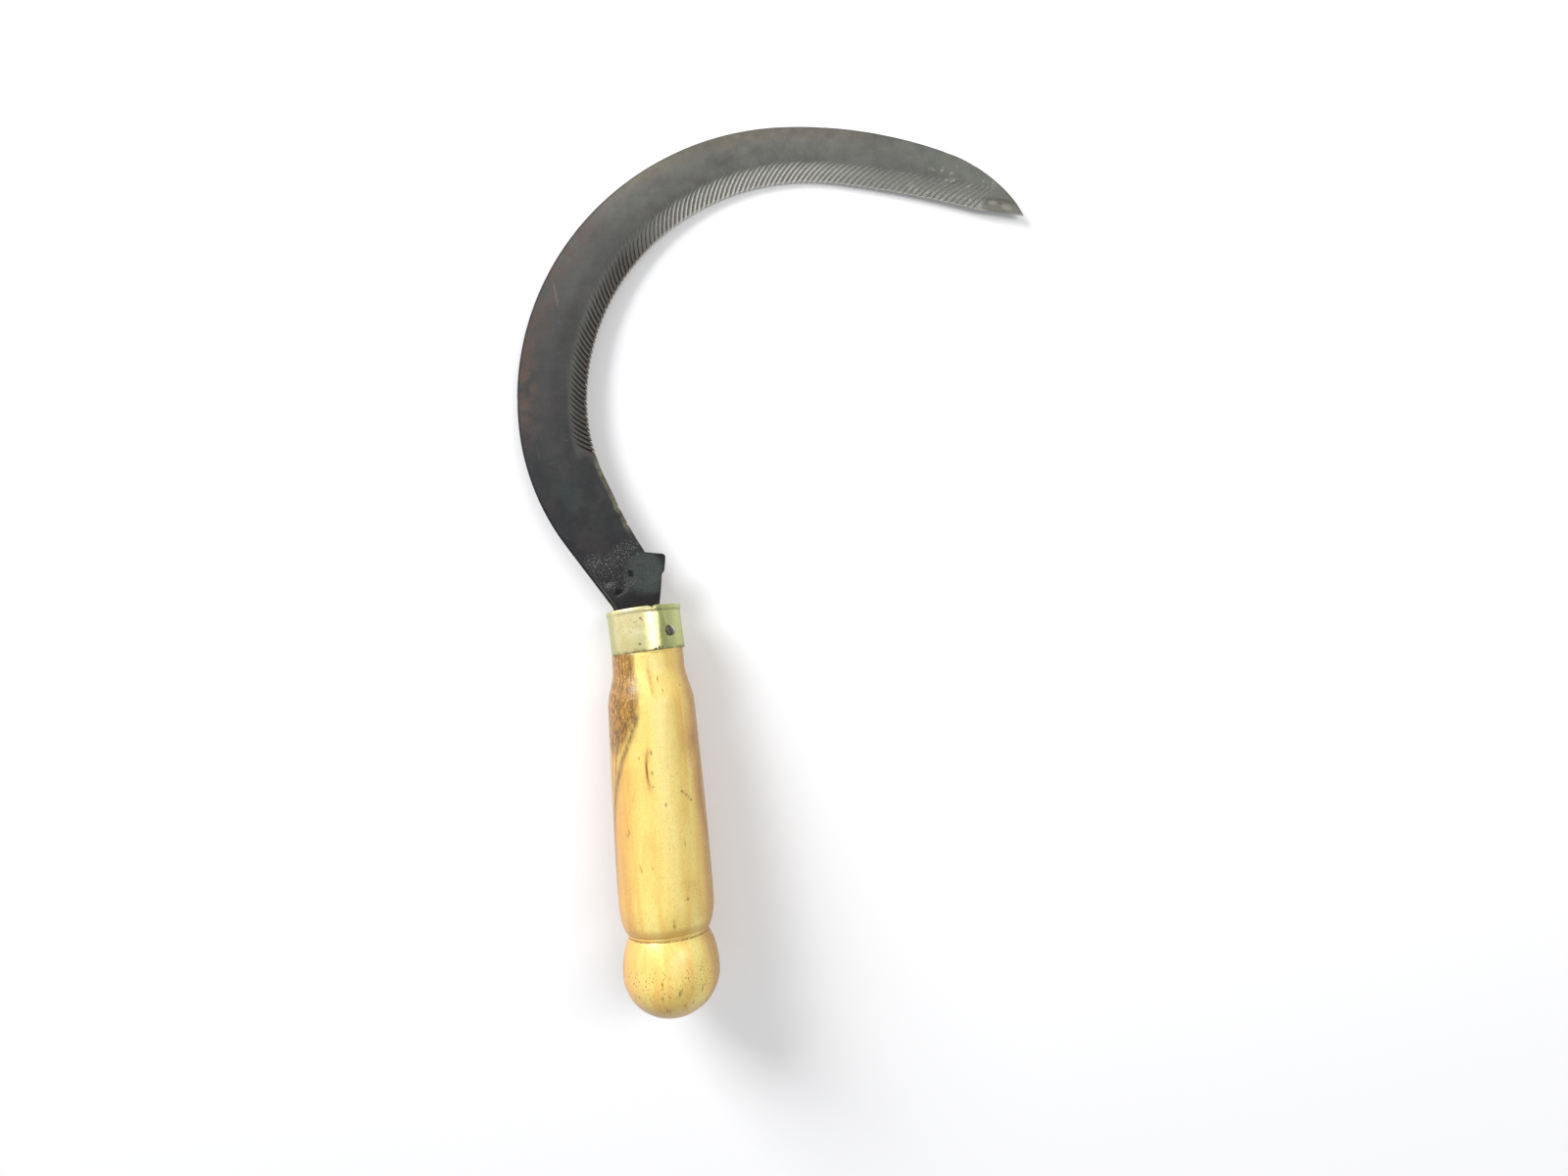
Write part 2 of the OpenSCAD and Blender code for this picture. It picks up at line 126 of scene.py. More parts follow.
# Corners and centres, worked out as in the source: each arc touches the one before it
NECK_LEFT = -NECK_SHIFT - NECK_W / 2
NECK_RIGHT = NECK_LEFT + NECK_W
NECK_CORNER = np.array([NECK_LEFT, NECK_Y])
HEEL_RIGHT = NECK_RIGHT + HEEL_OUT
HEEL_CORNER = np.array([HEEL_RIGHT - HEEL_NIP - HEEL_W, HEEL_H])
BACK_FOOT = on_arc(NECK_CORNER, FOOT_LEN, BACK_TO - 90)
TAIL_C = on_arc(BACK_FOOT, -TAIL_R, BACK_TO)
BACK_C = on_arc(TAIL_C, TAIL_R - BACK_R, TAIL_FROM)
TOE_BACK_C = on_arc(BACK_C, BACK_R - TOE_BACK_R, TOE_FROM)
NOSE_C = on_arc(TOE_BACK_C, TOE_BACK_R - NOSE_R, NOSE_FROM)
TIP = on_arc(NOSE_C, NOSE_R, NOSE_TO)
EDGE_C = BACK_C + [BELLY_W + EDGE_R - BACK_R, BACK_R - CROWN_W - EDGE_R]
HEEL_C = on_arc(EDGE_C, EDGE_R - HEEL_R, HEEL_FROM)
HEEL_FOOT = on_arc(HEEL_C, HEEL_R, HEEL_TO)
TOE_C = on_arc(EDGE_C, EDGE_R - TOE_R, TOE_EDGE_FROM)
TOE_CORNER = on_arc(TOE_C, TOE_R, TOE_EDGE_TO)
# How the tool lies: on the ferrule's rim and the back's crown, centred on the frame's box
HALF_T = BLADE_T / 2
RIM_R = FERRULE_R + RIM_ROLL
CROWN_Y = BACK_C[1] + BACK_R
PITCH = math.atan2(RIM_R - HALF_T, RIM_Y + CROWN_Y)
LIFT = RIM_R * math.cos(PITCH) - RIM_Y * math.sin(PITCH)
MID_X = (BACK_C[0] - BACK_R + TIP[0]) / 2
MID_Y = CROWN_Y * math.cos(PITCH) + HALF_T * math.sin(PITCH) + 1000 * cad_box[0][1]


# Helpers for shapes
def smooth(x, a, b):
    """0 before a, 1 after b and a soft rise between them."""
    t = np.clip((np.asarray(x, float) - a) / (b - a), 0, 1)
    return t * t * (3 - 2 * t)


def window(x, a, b, c, d):
    """0 before a, 1 from b to c and 0 after d."""
    return smooth(x, a, b) * (1 - smooth(x, c, d))


def bell(x, reach):
    """1 at zero, down to about a third at the reach."""
    return np.exp(-(x / reach) ** 2)


def soft_min(k, *values):
    """The least of the values, with the corner between them rounded by k."""
    least = functools.reduce(np.minimum, values)
    return least - k * np.log(sum(np.exp(-(v - least) / k) for v in values))


def lattice(i, j, k, seed):
    """A fixed random number from -1 to 1 for each lattice point."""
    h = (i * 374761393 + j * 668265263 + k * 1440662683 + seed * 974634777) & 0xFFFFFFFF
    h = ((h ^ (h >> 13)) * 1274126177) & 0xFFFFFFFF
    return ((h ^ (h >> 16)) & 0xFFFF) / 32767.5 - 1.0


def noise(x, y, z=0.0, seed=0):
    """Value noise from -1 to 1."""
    p = np.stack(np.broadcast_arrays(np.asarray(x, float), np.asarray(y, float), np.asarray(z, float)), -1)
    i = np.floor(p).astype(np.int64)
    f = p - i
    f = f * f * (3 - 2 * f)
    out = 0.0
    for corner in np.ndindex(2, 2, 2):
        share = np.prod(np.where(corner, f, 1 - f), axis=-1)
        out = out + share * lattice(*(i[..., n] + corner[n] for n in range(3)), seed)
    return out


def fractal(x, y, z=0.0, seed=0):
    """Three layers of noise, each half as strong and twice as fine as the one before."""
    p = [np.asarray(v, float) for v in (x, y, z)]
    layers = [noise(*(v * 2 ** n for v in p), seed + 17 * n) / 2 ** n for n in range(3)]
    return sum(layers) / 1.75


def line(p, q, step):
    n = max(2, int(np.hypot(*(q - p)) / step))
    return p + (q - p) * np.linspace(0, 1, n + 1)[:, None]


def arc(centre, radius, start, end, step):
    n = max(2, int(abs(math.radians(end - start)) * radius / step))
    return np.array([on_arc(centre, radius, a) for a in np.linspace(start, end, n + 1)])


def chain(first, *others):
    """Joins paths end to end, without repeating the points where they meet."""
    return np.concatenate([first] + [path[1:] for path in others])


def spread(stops, counts):
    """Places from stop to stop, with a number of even steps for each stretch."""
    parts = [np.linspace(a, b, n, endpoint=False) for a, b, n in zip(stops, stops[1:], counts)]
    return np.append(np.concatenate(parts), stops[-1])


def lay(p):
    """Tool frame in mm to the part's frame in metres."""
    c, s = math.cos(PITCH), math.sin(PITCH)
    out = np.stack([p[:, 0] - MID_X,
                    p[:, 1] * c + p[:, 2] * s - MID_Y,
                    -p[:, 1] * s + p[:, 2] * c + LIFT], 1)
    return out * 0.001


def place(name, data):
    """A new object in the scene."""
    ob = bpy.data.objects.new(name, data)
    bpy.context.scene.collection.objects.link(ob)
    return ob


def make(node, verts, faces, attributes, smooth_angle):
    """The piece that stands for a node, with its own attributes for the shaders."""
    me = bpy.data.meshes.new("sickle_" + node)
    me.from_pydata(lay(verts).tolist(), [], faces)
    me.update()
    for key, values in {"tool": verts, **attributes}.items():
        values = np.asarray(values, np.float32)
        kind, field = ("FLOAT", "value") if values.ndim == 1 else ("FLOAT_VECTOR", "vector")
        me.attributes.new(key, kind, "POINT").data.foreach_set(field, values.ravel())
    me.polygons.foreach_set("use_smooth", np.ones(len(me.polygons), bool))
    me.set_sharp_from_angle(angle=math.radians(smooth_angle))
    ob = place("sickle_" + node, me)
    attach(ob, "root")
    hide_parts(node)
    return ob


def ring_faces(count, around, flip=False):
    """Quads between closed rings of points, one after the other."""
    faces = []
    for ring in range(count - 1):
        a, b = ring * around, (ring + 1) * around
        for i in range(around):
            j = (i + 1) % around
            face = (a + i, b + i, b + j, a + j)
            faces.append(face[::-1] if flip else face)
    return faces


def circle(around, start=-np.pi):
    return start + np.arange(around) * 2 * np.pi / around


# The toothed edge, by distance s from the heel's corner
EDGE_STEP = 0.25
S_FOOT = float(np.hypot(*(HEEL_FOOT - HEEL_CORNER)))
S_TEETH = S_FOOT + HEEL_R * math.radians(HEEL_TO - TEETH_TO)
S_MAIN = S_FOOT + HEEL_R * math.radians(HEEL_TO - HEEL_FROM)
S_TOE = S_MAIN + EDGE_R * math.radians(HEEL_FROM - TOE_EDGE_FROM)
S_PLAIN = S_TOE + TOE_R * math.radians(TOE_EDGE_FROM - TOE_EDGE_TO)


def edge_frame():
    """Points along the edge, their distances from its start, and its softened headings."""
    heel = line(HEEL_CORNER, HEEL_FOOT, EDGE_STEP)
    run = np.linspace(0, S_FOOT, len(heel))
    # the worn heel edge is a little hollow, with two nicks
    hollow = 0.55 * np.sin(np.pi * run / S_FOOT) + 0.4 * bell(run - 11.8, 0.5) + 0.45 * bell(run - 18.6, 0.6)
    way = (HEEL_FOOT - HEEL_CORNER) / S_FOOT
    heel = heel + hollow[:, None] * np.array([-way[1], way[0]])
    path = chain(heel,
                 arc(HEEL_C, HEEL_R, HEEL_TO, HEEL_FROM, EDGE_STEP),
                 arc(EDGE_C, EDGE_R, HEEL_FROM, TOE_EDGE_FROM, EDGE_STEP),
                 arc(TOE_C, TOE_R, TOE_EDGE_FROM, TOE_EDGE_TO, EDGE_STEP),
                 line(TOE_CORNER, TIP, EDGE_STEP))
    s = np.append(0, np.cumsum(np.hypot(*np.diff(path, axis=0).T)))
    even = np.append(np.arange(0, s[-1], EDGE_STEP), s[-1])
    path = np.stack([np.interp(even, s, path[:, i]) for i in (0, 1)], 1)
    slope = np.gradient(path, axis=0)
    heading = np.unwrap(np.arctan2(slope[:, 1], slope[:, 0]))
    wide = 12
    pad = 3 * wide
    kernel = np.exp(-0.5 * (np.arange(-pad, pad + 1) / wide) ** 2)
    padded = np.pad(heading, pad, mode="edge")
    return path, even, np.convolve(padded, kernel / kernel.sum(), "valid")


EDGE, EDGE_S, EDGE_HEADING = edge_frame()
TOTAL = EDGE_S[-1]


def at_edge(s):
    """The edge's point at s and the way into the blade. Beyond the tip the straight line goes on."""
    over = np.maximum(np.asarray(s) - TOTAL, 0)
    way = (TIP - TOE_CORNER) / np.hypot(*(TIP - TOE_CORNER))
    x, y = (np.interp(s, EDGE_S, EDGE[:, i]) + over * way[i] for i in (0, 1))
    heading = np.interp(s, EDGE_S, EDGE_HEADING)
    return x, y, -np.sin(heading), np.cos(heading)


def back_path():
    return chain(line(NECK_CORNER, BACK_FOOT, 0.3),
                 arc(TAIL_C, TAIL_R, BACK_TO, TAIL_FROM, 0.3),
                 arc(BACK_C, BACK_R, TAIL_FROM, TOE_FROM, 0.3),
                 arc(TOE_BACK_C, TOE_BACK_R, TOE_FROM, NOSE_FROM, 0.3),
                 arc(NOSE_C, NOSE_R, NOSE_FROM, NOSE_TO, 0.15))


BACK = back_path()


def hit_back(px, py, nx, ny):
    """Where a ray from each point meets the back."""
    rx = BACK[None, :, 0] - px[:, None]
    ry = BACK[None, :, 1] - py[:, None]
    cross = rx * ny[:, None] - ry * nx[:, None]
    along = rx * nx[:, None] + ry * ny[:, None]
    change = (cross[:, :-1] * cross[:, 1:] <= 0) & (along[:, :-1] > -0.4)
    k = np.where(change, along[:, :-1], 1e9).argmin(1)
    i = np.arange(len(px))
    share = cross[i, k] / (cross[i, k] - cross[i, k + 1] + 1e-12)
    return BACK[k] + (BACK[k + 1] - BACK[k]) * share[:, None]


def thickness(w, back, run_out, block):
    """Plate thickness at w from the toothed edge and back from the back.

    The bevels run out towards the heel's corner, where run_out is 1. The block has none.
    """
    wide = w / np.maximum(1 - run_out, 0.04)
    edge = EDGE_T + (BLADE_T - EDGE_T) * run_out
    hone = edge + (HONE_T - EDGE_T) / HONE_W * wide * (1 - 0.6 * run_out)
    taper_slope = (BLADE_T - HONE_T) / TAPER_W
    taper = HONE_T + taper_slope * (wide - HONE_W) + (BLADE_T - HONE_T) * run_out
    t = soft_min(0.035, hone, taper, np.full_like(hone, BLADE_T))
    t = np.where(block > 0.5, BLADE_T, t)
    t = np.minimum(t, BLADE_T - BACK_CHAMFER + 0.95 * back)
    rim = 1.35 + 1.1 * w - 0.25 * np.clip(w, 0, 0.4)
    return np.where(block > 0.5, np.minimum(t, rim), t)


# The toothed band, and the spacing of points across the band and across the rest of the plate
BAND_W = 8.6
STEEP_RUN = 0.62
GENTLE_RUN = 1.85
THINNEST = 0.06
TANG_HALF_T = 0.7
UNDER_SOFT = 0.12
BAND = np.linspace(0, 1, 30) ** 1.25
PLATE = 1 - (1 - np.linspace(0, 1, 27)[1:]) ** 1.35


def cut_marks():
    """Place, strength and reach of each groove, each a little off its rule."""
    rng = np.random.default_rng(7)
    marks = []
    stretches = ((S_TEETH, S_MAIN, TOOTH_PITCH), (S_MAIN, S_TOE, TOOTH_PITCH), (S_TOE, S_PLAIN, TOE_PITCH))
    for start, end, pitch in stretches:
        n = round((end - start) / pitch)
        marks += [start + (end - start) * (i + 0.5) / n for i in range(n)]
    marks = np.array(marks) + rng.uniform(-0.05, 0.05, len(marks))
    strength = rng.uniform(0.9, 1.08, len(marks)) * (1 - 0.30 * smooth(marks, 196, 240))
    reach = (6.3 + 0.9 * smooth(marks, 60, 150)) * rng.uniform(0.93, 1.05, len(marks))
    return marks, strength, reach * (1 + 0.16 * smooth(marks, 205, 244))


MARKS, STRENGTH, REACH = cut_marks()


def groove_depth(w, k):
    """Depth of groove k's floor under the surface at w. After the last groove there is none."""
    if k == len(MARKS):
        return np.zeros_like(w)
    end = np.clip((REACH[k] - w) / 2.4, 0, 1)
    return np.maximum((0.53 - 0.034 * w) * end ** 0.8, 0) * STRENGTH[k]


def lean_run(w):
    """How far a groove has run towards the toe at w: it bends over as it goes in."""
    w = np.minimum(w, 7.6)
    return w * (math.tan(math.radians(34)) + w * 0.024)


def lean_share(s):
    """The columns stand square to the edge at the heel and the tip, and lean between them."""
    return window(s, 6, 36, S_PLAIN + 1, TOTAL - 1.5)


def band_width(s):
    """Width of the toothed band at s. It narrows with the blade towards the tip."""
    width = BAND_W + 0.9 * float(smooth(s, 200, 235))
    if TOTAL - s < 26:
        x, y, nx, ny = at_edge(np.array([s + 3.0 * float(lean_share(s))]))
        far = hit_back(x, y, nx, ny)[0]
        width = min(width, 0.68 * math.hypot(far[0] - x[0], far[1] - y[0]))
    return width


def tooth(k, w):
    """Columns from groove k's floor up its steep wall, over the land and down to the next groove.

    Each is its place after the groove, its depth, and how much of a steep and a shallow wall it is.
    """
    gap = MARKS[k + 1] - MARKS[k] if k + 1 < len(MARKS) else TOE_PITCH
    here = groove_depth(w, k)
    there = groove_depth(w, k + 1)
    steep = np.maximum(here, 0.09) * STEEP_RUN
    gentle = np.minimum(np.maximum(there, 0.09) * GENTLE_RUN, gap - steep - 0.12)
    is_steep = smooth(here, 0.03, 0.14)
    is_gentle = smooth(there, 0.03, 0.14)
    none = 0 * w
    return [(none, here, is_steep, 0.25 * is_gentle),
            (0.5 * steep, 0.52 * here, 0.9 * is_steep, none),
            (steep, -0.03 * smooth(here, 0, 0.3), 0.25 * is_steep, none),
            (steep + 0.06, none - 0.012, none, none),
            (0.5 * (steep + 0.06 + gap - gentle), none, none, none),
            (gap - gentle, none, none, 0.30 * is_gentle),
            (gap - 0.66 * gentle, 0.36 * there, none, is_gentle),
            (gap - 0.33 * gentle, 0.68 * there, 0.1 * is_steep, is_gentle)]


def lead_in(w):
    """Columns down the shallow wall of the first groove."""
    deep = groove_depth(w, 0)
    wall = np.maximum(deep, 0.12) * GENTLE_RUN
    return [(-wall * (1 - part), deep * part, 0 * w, part * smooth(deep, 0.03, 0.14))
            for part in (0.0, 0.33, 0.66)]


def toothed_band():
    """The band's columns from heel to tip: s, w, depth, steep and gentle along each, and run_out."""
    plain = [(0 * BAND,) * 4]
    stations = [(s, plain) for s in np.arange(0.15, MARKS[0] - 1.45, 0.36)]
    stations.append((MARKS[0], lead_in(BAND_W * BAND)))
    stations += [(mark, tooth(k, band_width(mark) * BAND)) for k, mark in enumerate(MARKS)]
    stations += [(s, plain) for s in np.arange(MARKS[-1] + 2.3, TOTAL - 0.6, 0.5)]
    stations += [(TOTAL - rest, plain) for rest in (0.55, 0.3, 0.14)]
    base = np.array([s for s, columns in stations for _ in columns])[:, None]
    off, depth, steep, gentle = np.array([c for _, columns in stations for c in columns]).transpose(1, 0, 2)
    width = np.array([band_width(s) for s, columns in stations for _ in columns])[:, None]
    w = width * BAND
    s = base + off + lean_run(w) * lean_share(base)
    run_out = np.clip((S_FOOT - s[:, :1]) / S_FOOT, 0, 1)
    # where a groove has cut through the edge, the column starts further in
    left = thickness(w, 50.0, run_out, 0 * w) - depth
    start = np.zeros_like(width)
    for i, t in enumerate(left):
        thin = np.where(t < THINNEST)[0]
        if len(thin) and thin[-1] + 1 < len(BAND):
            b = thin[-1]
            share = (THINNEST - t[b]) / (t[b + 1] - t[b] + 1e-9)
            start[i] = w[i, b] + share * (w[i, b + 1] - w[i, b])
    new_w = start + (width - start) * BAND
    moved = [np.array([np.interp(new_w[i], w[i], v[i]) for i in range(len(w))])
             for v in (s, depth, steep, gentle)]
    return moved[0], new_w, *moved[1:], run_out


def block_sides(inner_start, outer_start):
    """Matching points down the right and left sides of the heel block and the neck."""
    right = np.array([inner_start, (4.2, 19.05), (6.4, 18.7), (7.9, 18.45), (8.45, 18.1), (8.67, 17.5),
                      (8.42, 15.4), (8.02, 13.2), (7.75, 12.3), (7.15, 11.75), (6.92, 11.2), (6.80, 10.2),
                      (6.45, 7.6), (6.0, 4.8), (5.35, 1.2), (NECK_RIGHT, 0.3), (NECK_RIGHT, WOOD_TOP)])
    # shares of the way from the neck's corner up to where the toothed part's back begins
    shares = (0.93, 0.86, 0.80, 0.77, 0.73, 0.63, 0.54, 0.49, 0.45, 0.42, 0.37, 0.27, 0.17, 0.04)
    way = (BACK_FOOT - NECK_CORNER) / FOOT_LEN
    whole = float((outer_start - NECK_CORNER) @ way)
    left = np.array([outer_start] + [NECK_CORNER + way * whole * f for f in shares]
                    + [(NECK_LEFT, 0.2), (NECK_LEFT, WOOD_TOP)])
    at = np.linspace(0, len(right) - 1, 97)[1:]
    sides = []
    for points in (right, left):
        p = np.stack([np.interp(at, np.arange(len(points)), points[:, i]) for i in (0, 1)], 1)
        p[1:-1] = 0.25 * p[:-2] + 0.5 * p[1:-1] + 0.25 * p[2:]
        sides.append(p)
    return at / at[-1], *sides


def blade_columns():
    """Every column across the blade, from the tang's point to the tip, as arrays by name."""
    s, w, depth, steep, gentle, run_out = toothed_band()
    x, y, nx, ny = at_edge(s)
    band = np.stack([x + nx * w, y + ny * w], -1)
    outer = hit_back(band[:, -1, 0], band[:, -1, 1], nx[:, -1], ny[:, -1])
    down, right, left = block_sides(band[0, 0], outer[0])
    tang = np.array([(4.2, -0.6), (4.15, -1.4), (3.2, -24), (2.3, -46), (1.5, -63.6), (0.35, -66.4)])
    names = ("xy", "w", "back", "s", "depth", "steep", "gentle", "run_out", "block", "half")
    columns = {name: [] for name in names}
    plate = np.zeros(len(PLATE))

    def add(**values):
        for name, value in values.items():
            columns[name].append(value * np.ones(len(BAND) + len(PLATE)) if np.ndim(value) == 0 else value)

    def add_across(inner, far, s_here, half):
        # heel block, neck or tang: a straight column with the same spacing as a toothed one
        wide = np.hypot(*(far - inner))
        share = min(BAND_W, 0.42 * wide) / wide
        across = np.concatenate([share * BAND, share + (1 - share) * PLATE])
        add(xy=inner + (far - inner) * across[:, None], w=across * wide, back=(1 - across) * wide, s=s_here,
            depth=0.0, steep=0.0, gentle=0.0, run_out=1.0, block=1.0, half=half)

    for p in tang[::-1]:
        add_across(p, p * [-1, 1], 0.3 * p[1] - 30.0, TANG_HALF_T)
    for i in reversed(range(len(down))):
        add_across(right[i], left[i], -22.0 * down[i], HALF_T)
    for i in range(len(s)):
        way = outer[i] - band[i, -1]
        w_all = np.concatenate([w[i], w[i, -1] + np.hypot(*way) * PLATE])
        add(xy=np.concatenate([band[i], band[i, -1] + way * PLATE[:, None]]), w=w_all, back=w_all[-1] - w_all,
            s=np.concatenate([s[i], plate + s[i, -1]]), depth=np.concatenate([depth[i], plate]),
            steep=np.concatenate([steep[i], plate]), gentle=np.concatenate([gentle[i], plate]),
            run_out=run_out[i, 0], block=0.0, half=HALF_T)
    return {name: np.array(rows) for name, rows in columns.items()}


def unit(way):
    return way / np.maximum(np.hypot(way[..., 0], way[..., 1]), 1e-6)[..., None]


def worn_thickness(c):
    """Plate thickness with the unevenness of hammering and grinding and pits by the neck, and the pits."""
    x, y = c["xy"][..., 0], c["xy"][..., 1]
    t = thickness(c["w"], c["back"], c["run_out"], c["block"]) - c["depth"]
    uneven = 0.03 * fractal(x / 9, y / 9, 0, 3) + 0.008 * fractal(x / 1.7, y / 1.7, 0, 5)
    pits = np.clip(noise(x / 0.55, y / 0.55, 0, 11) - 0.52, 0, 1)
    pits = pits * np.clip(0.3 + fractal(x / 5, y / 5, 0, 13), 0, 1)
    pits = pits * (1 - smooth(c["s"], -4, 22)) * (c["w"] > 0.6) * (c["back"] > 0.6)
    return np.maximum(t + uneven * np.clip(t / 1.2, 0, 1) - 0.3 * pits, 0.055), pits


def nicked(c):
    """The columns' points, drawn in where the rim of the back has nicks."""
    s = c["s"]
    nick = 0.5 * np.clip(noise(s / 1.3, 0.5, 0, 21) - 0.62, 0, 1) + 0.06 * noise(s / 3.1, 3.5, 0, 22)
    pull = np.clip(nick * smooth(2 - c["back"], 0, 2) * (s > -12) * (TOTAL - s > 8), 0, 0.4)
    way = np.diff(c["xy"], axis=1)
    return c["xy"] - unit(np.concatenate([way, way[:, -1:]], 1)) * pull[..., None]


def underside(top, in_tang, pick):
    """Points from the back to the edge, where the first two soften the corner at the back."""
    under = top[:, pick].copy()
    low = np.where(in_tang[:, :1], -TANG_HALF_T, -HALF_T)
    flaws = 0.012 * fractal(under[..., 0] / 6, under[..., 1] / 6, 9, 31)
    under[..., 2] = low + flaws * (1 - in_tang[:, pick])
    soft = under[:, :1].copy()
    soft[..., :2] += UNDER_SOFT * unit(under[:, 1:2, :2] - under[:, :1, :2])
    under[:, 0, 2] += UNDER_SOFT
    return np.concatenate([under[:, :1], soft, under[:, 1:]], 1)


def build_blade():
    c = blade_columns()
    in_tang = c["half"] < HALF_T
    t, pits = worn_thickness(c)
    z_top = np.where(in_tang, TANG_HALF_T, t - HALF_T)
    top = np.concatenate([nicked(c), z_top[..., None]], -1)
    # the points of each column that the underside keeps, from the back to the edge
    pick = ((1 - np.linspace(0, 1, 16) ** 0.9) * (top.shape[1] - 1)).round().astype(int)
    ring = np.concatenate([top, underside(top, in_tang, pick)], 1)
    count, rows = ring.shape[:2]
    tip = [(TIP[0], TIP[1], EDGE_T / 2 - HALF_T)]
    verts = np.concatenate([ring.reshape(-1, 3), tip])
    faces = ring_faces(count, rows)
    faces.append(tuple(range(rows)))
    a = (count - 1) * rows
    faces += [(a + r, len(verts) - 1, a + (r + 1) % rows) for r in range(rows)]

    def all_round(v):
        # a value of the upper side, carried on round the underside
        return np.append(np.concatenate([v, v[:, pick[:1]], v[:, pick]], 1).ravel(), 0.0)

    def upper(v):
        # a value that the underside doesn't have
        return np.append(np.concatenate([v, np.zeros((count, rows - v.shape[1]))], 1).ravel(), 0.0)

    s = all_round(c["s"])
    s[-1] = TOTAL
    attributes = {"place": np.stack([s, all_round(c["w"]), all_round(c["back"])], 1),
                  "steep": upper(c["steep"]),
                  "gentle": upper(c["gentle"]),
                  "pits": upper(pits),
                  "face_up": upper(np.ones_like(t))}
    return make("blade", verts, faces, attributes, 28)


# Handle. A turn is an angle round the handle from straight up, in degrees towards the right.
POMMEL_LEN = POMMEL_Z / math.sqrt(1 - (BUTT_FLAT_R / POMMEL_R) ** 2)
AROUND_HANDLE = 288
# Marks seen in the photo: turn, distance from the butt, half width, half length and strength
SCARS = ((-3.4, 82.5, 0.20, 3.0, 1.0), (3.3, 88.3, 0.26, 0.8, 0.9), (2.8, 81.8, 0.30, 0.6, 0.9),
         (2.5, 77.4, 0.26, 0.5, 0.7), (-33.0, 63.0, 0.24, 0.9, 0.9), (-35.4, 62.0, 0.22, 0.5, 0.7),
         (-20.5, 52.0, 0.16, 0.9, 0.8), (-19, 50.8, 0.16, 0.9, 0.8), (55, 109.5, 0.3, 0.3, 0.8),
         (75.7, 48.5, 0.25, 0.9, 0.7), (38.1, 74.8, 0.34, 0.34, 1.0), (40.5, 74.2, 0.3, 0.3, 0.8),
         (43.9, 73.4, 0.34, 0.36, 1.0), (47.2, 72.7, 0.3, 0.3, 0.7), (50.7, 71.6, 0.32, 0.5, 1.0),
         (36, 58.0, 0.16, 1.3, 0.6), (-3.7, 14.8, 0.26, 0.6, 1.0), (15.5, 11.0, 0.22, 0.9, 1.0),
         (16.5, 11.8, 0.18, 0.5, 0.7), (15.5, 32.3, 0.22, 0.9, 1.0), (14.8, 33.8, 0.14, 0.7, 0.6),
         (34, 40.2, 0.34, 0.4, 0.9), (-68, 18.5, 0.25, 2.0, 0.9))
# Slanting cuts by the waist: turn, distance from the butt and slope
CUTS = ((-47, 31.0, 0.9), (-50, 29.6, 0.9), (-45, 33.2, 0.8))
# Strokes of the wood's figure: strength, half widths at the butt's and the ferrule's end, raggedness,
# seed, and the way as turns and distances from the butt
DARK_STROKES = (
    (1.0, (1.4, 1.3), 0.25, 3, ((-11.5, 101), (-15.1, 98.9), (-22.3, 94.1), (-33.9, 88.0), (-45.9, 81.8),
                                (-54.9, 76.1), (-62.0, 69.6), (-67.4, 62.5), (-70, 54), (-73, 44))),
    (1.0, (0.6, 0.5), 0.2, 4, ((-24.4, 99.5), (-37.4, 96.0), (-50.4, 87.3), (-56, 78), (-62, 70))),
    (0.9, (0.6, 0.6), 0.3, 5, ((-42, 102), (-55, 96), (-61, 88), (-66, 76))),
    (0.75, (1.2, 1.6), 0.5, 2, ((-80, 118), (-76, 104), (-76, 92), (-74, 80), (-76, 66))),
    (1.0, (0.22, 0.24), 0.05, 6, ((-2.6, 88), (-3.7, 82.8), (-2.8, 80), (-1.3, 77.8))),
    (1.0, (1.0, 1.3), 0.2, 13, ((80, 86), (75, 80), (73, 73), (75, 66), (82, 57))),
    (0.55, (0.8, 0.8), 0.2, 14, ((77, 82), (72, 77), (67, 72))),
    (0.5, (1.6, 2.6), 1.2, 18, ((-140, 112), (-134, 76), (-146, 36))),
    (0.5, (0.9, 1.2), 0.8, 19, ((178, 104), (170, 84), (176, 62))))
STAIN_STROKES = (
    (0.95, (0.7, 0.7), 0.15, 7, ((0, 90), (-4, 84), (-2, 76))),
    (0.75, (0.5, 0.4), 0.15, 8, ((-20, 77), (-25, 73), (-34.5, 68.1), (-35, 63))),
    (1.0, (0.7, 0.9), 0.1, 9, ((7, 116), (8.2, 113.6), (10.4, 109.2), (11, 107))),
    (0.5, (1.0, 1.0), 0.4, 10, ((-16, 106), (-14, 100), (-16, 92))),
    (0.62, (4.2, 5.2), 0.8, 11, ((-40, 84), (-44, 74), (-48, 60), (-46, 44), (-44, 30))),
    (0.95, (2.4, 2.4), 0.5, 12, ((83, 92), (79, 86), (72, 82.7), (66, 77.7), (69, 68.7), (82, 62), (92, 52))),
    (0.6, (2.2, 2.6), 0.8, 15, ((66, 108), (72, 104), (76, 98))),
    (0.35, (2.6, 3.4), 1.2, 16, ((40, 46), (48, 40), (56, 33))),
    (0.5, (3.0, 5.0), 1.5, 17, ((150, 118), (158, 80), (150, 44))),
    (0.6, (2.4, 3.4), 1.2, 20, ((-110, 117), (-116, 92), (-108, 70), (-112, 40))))


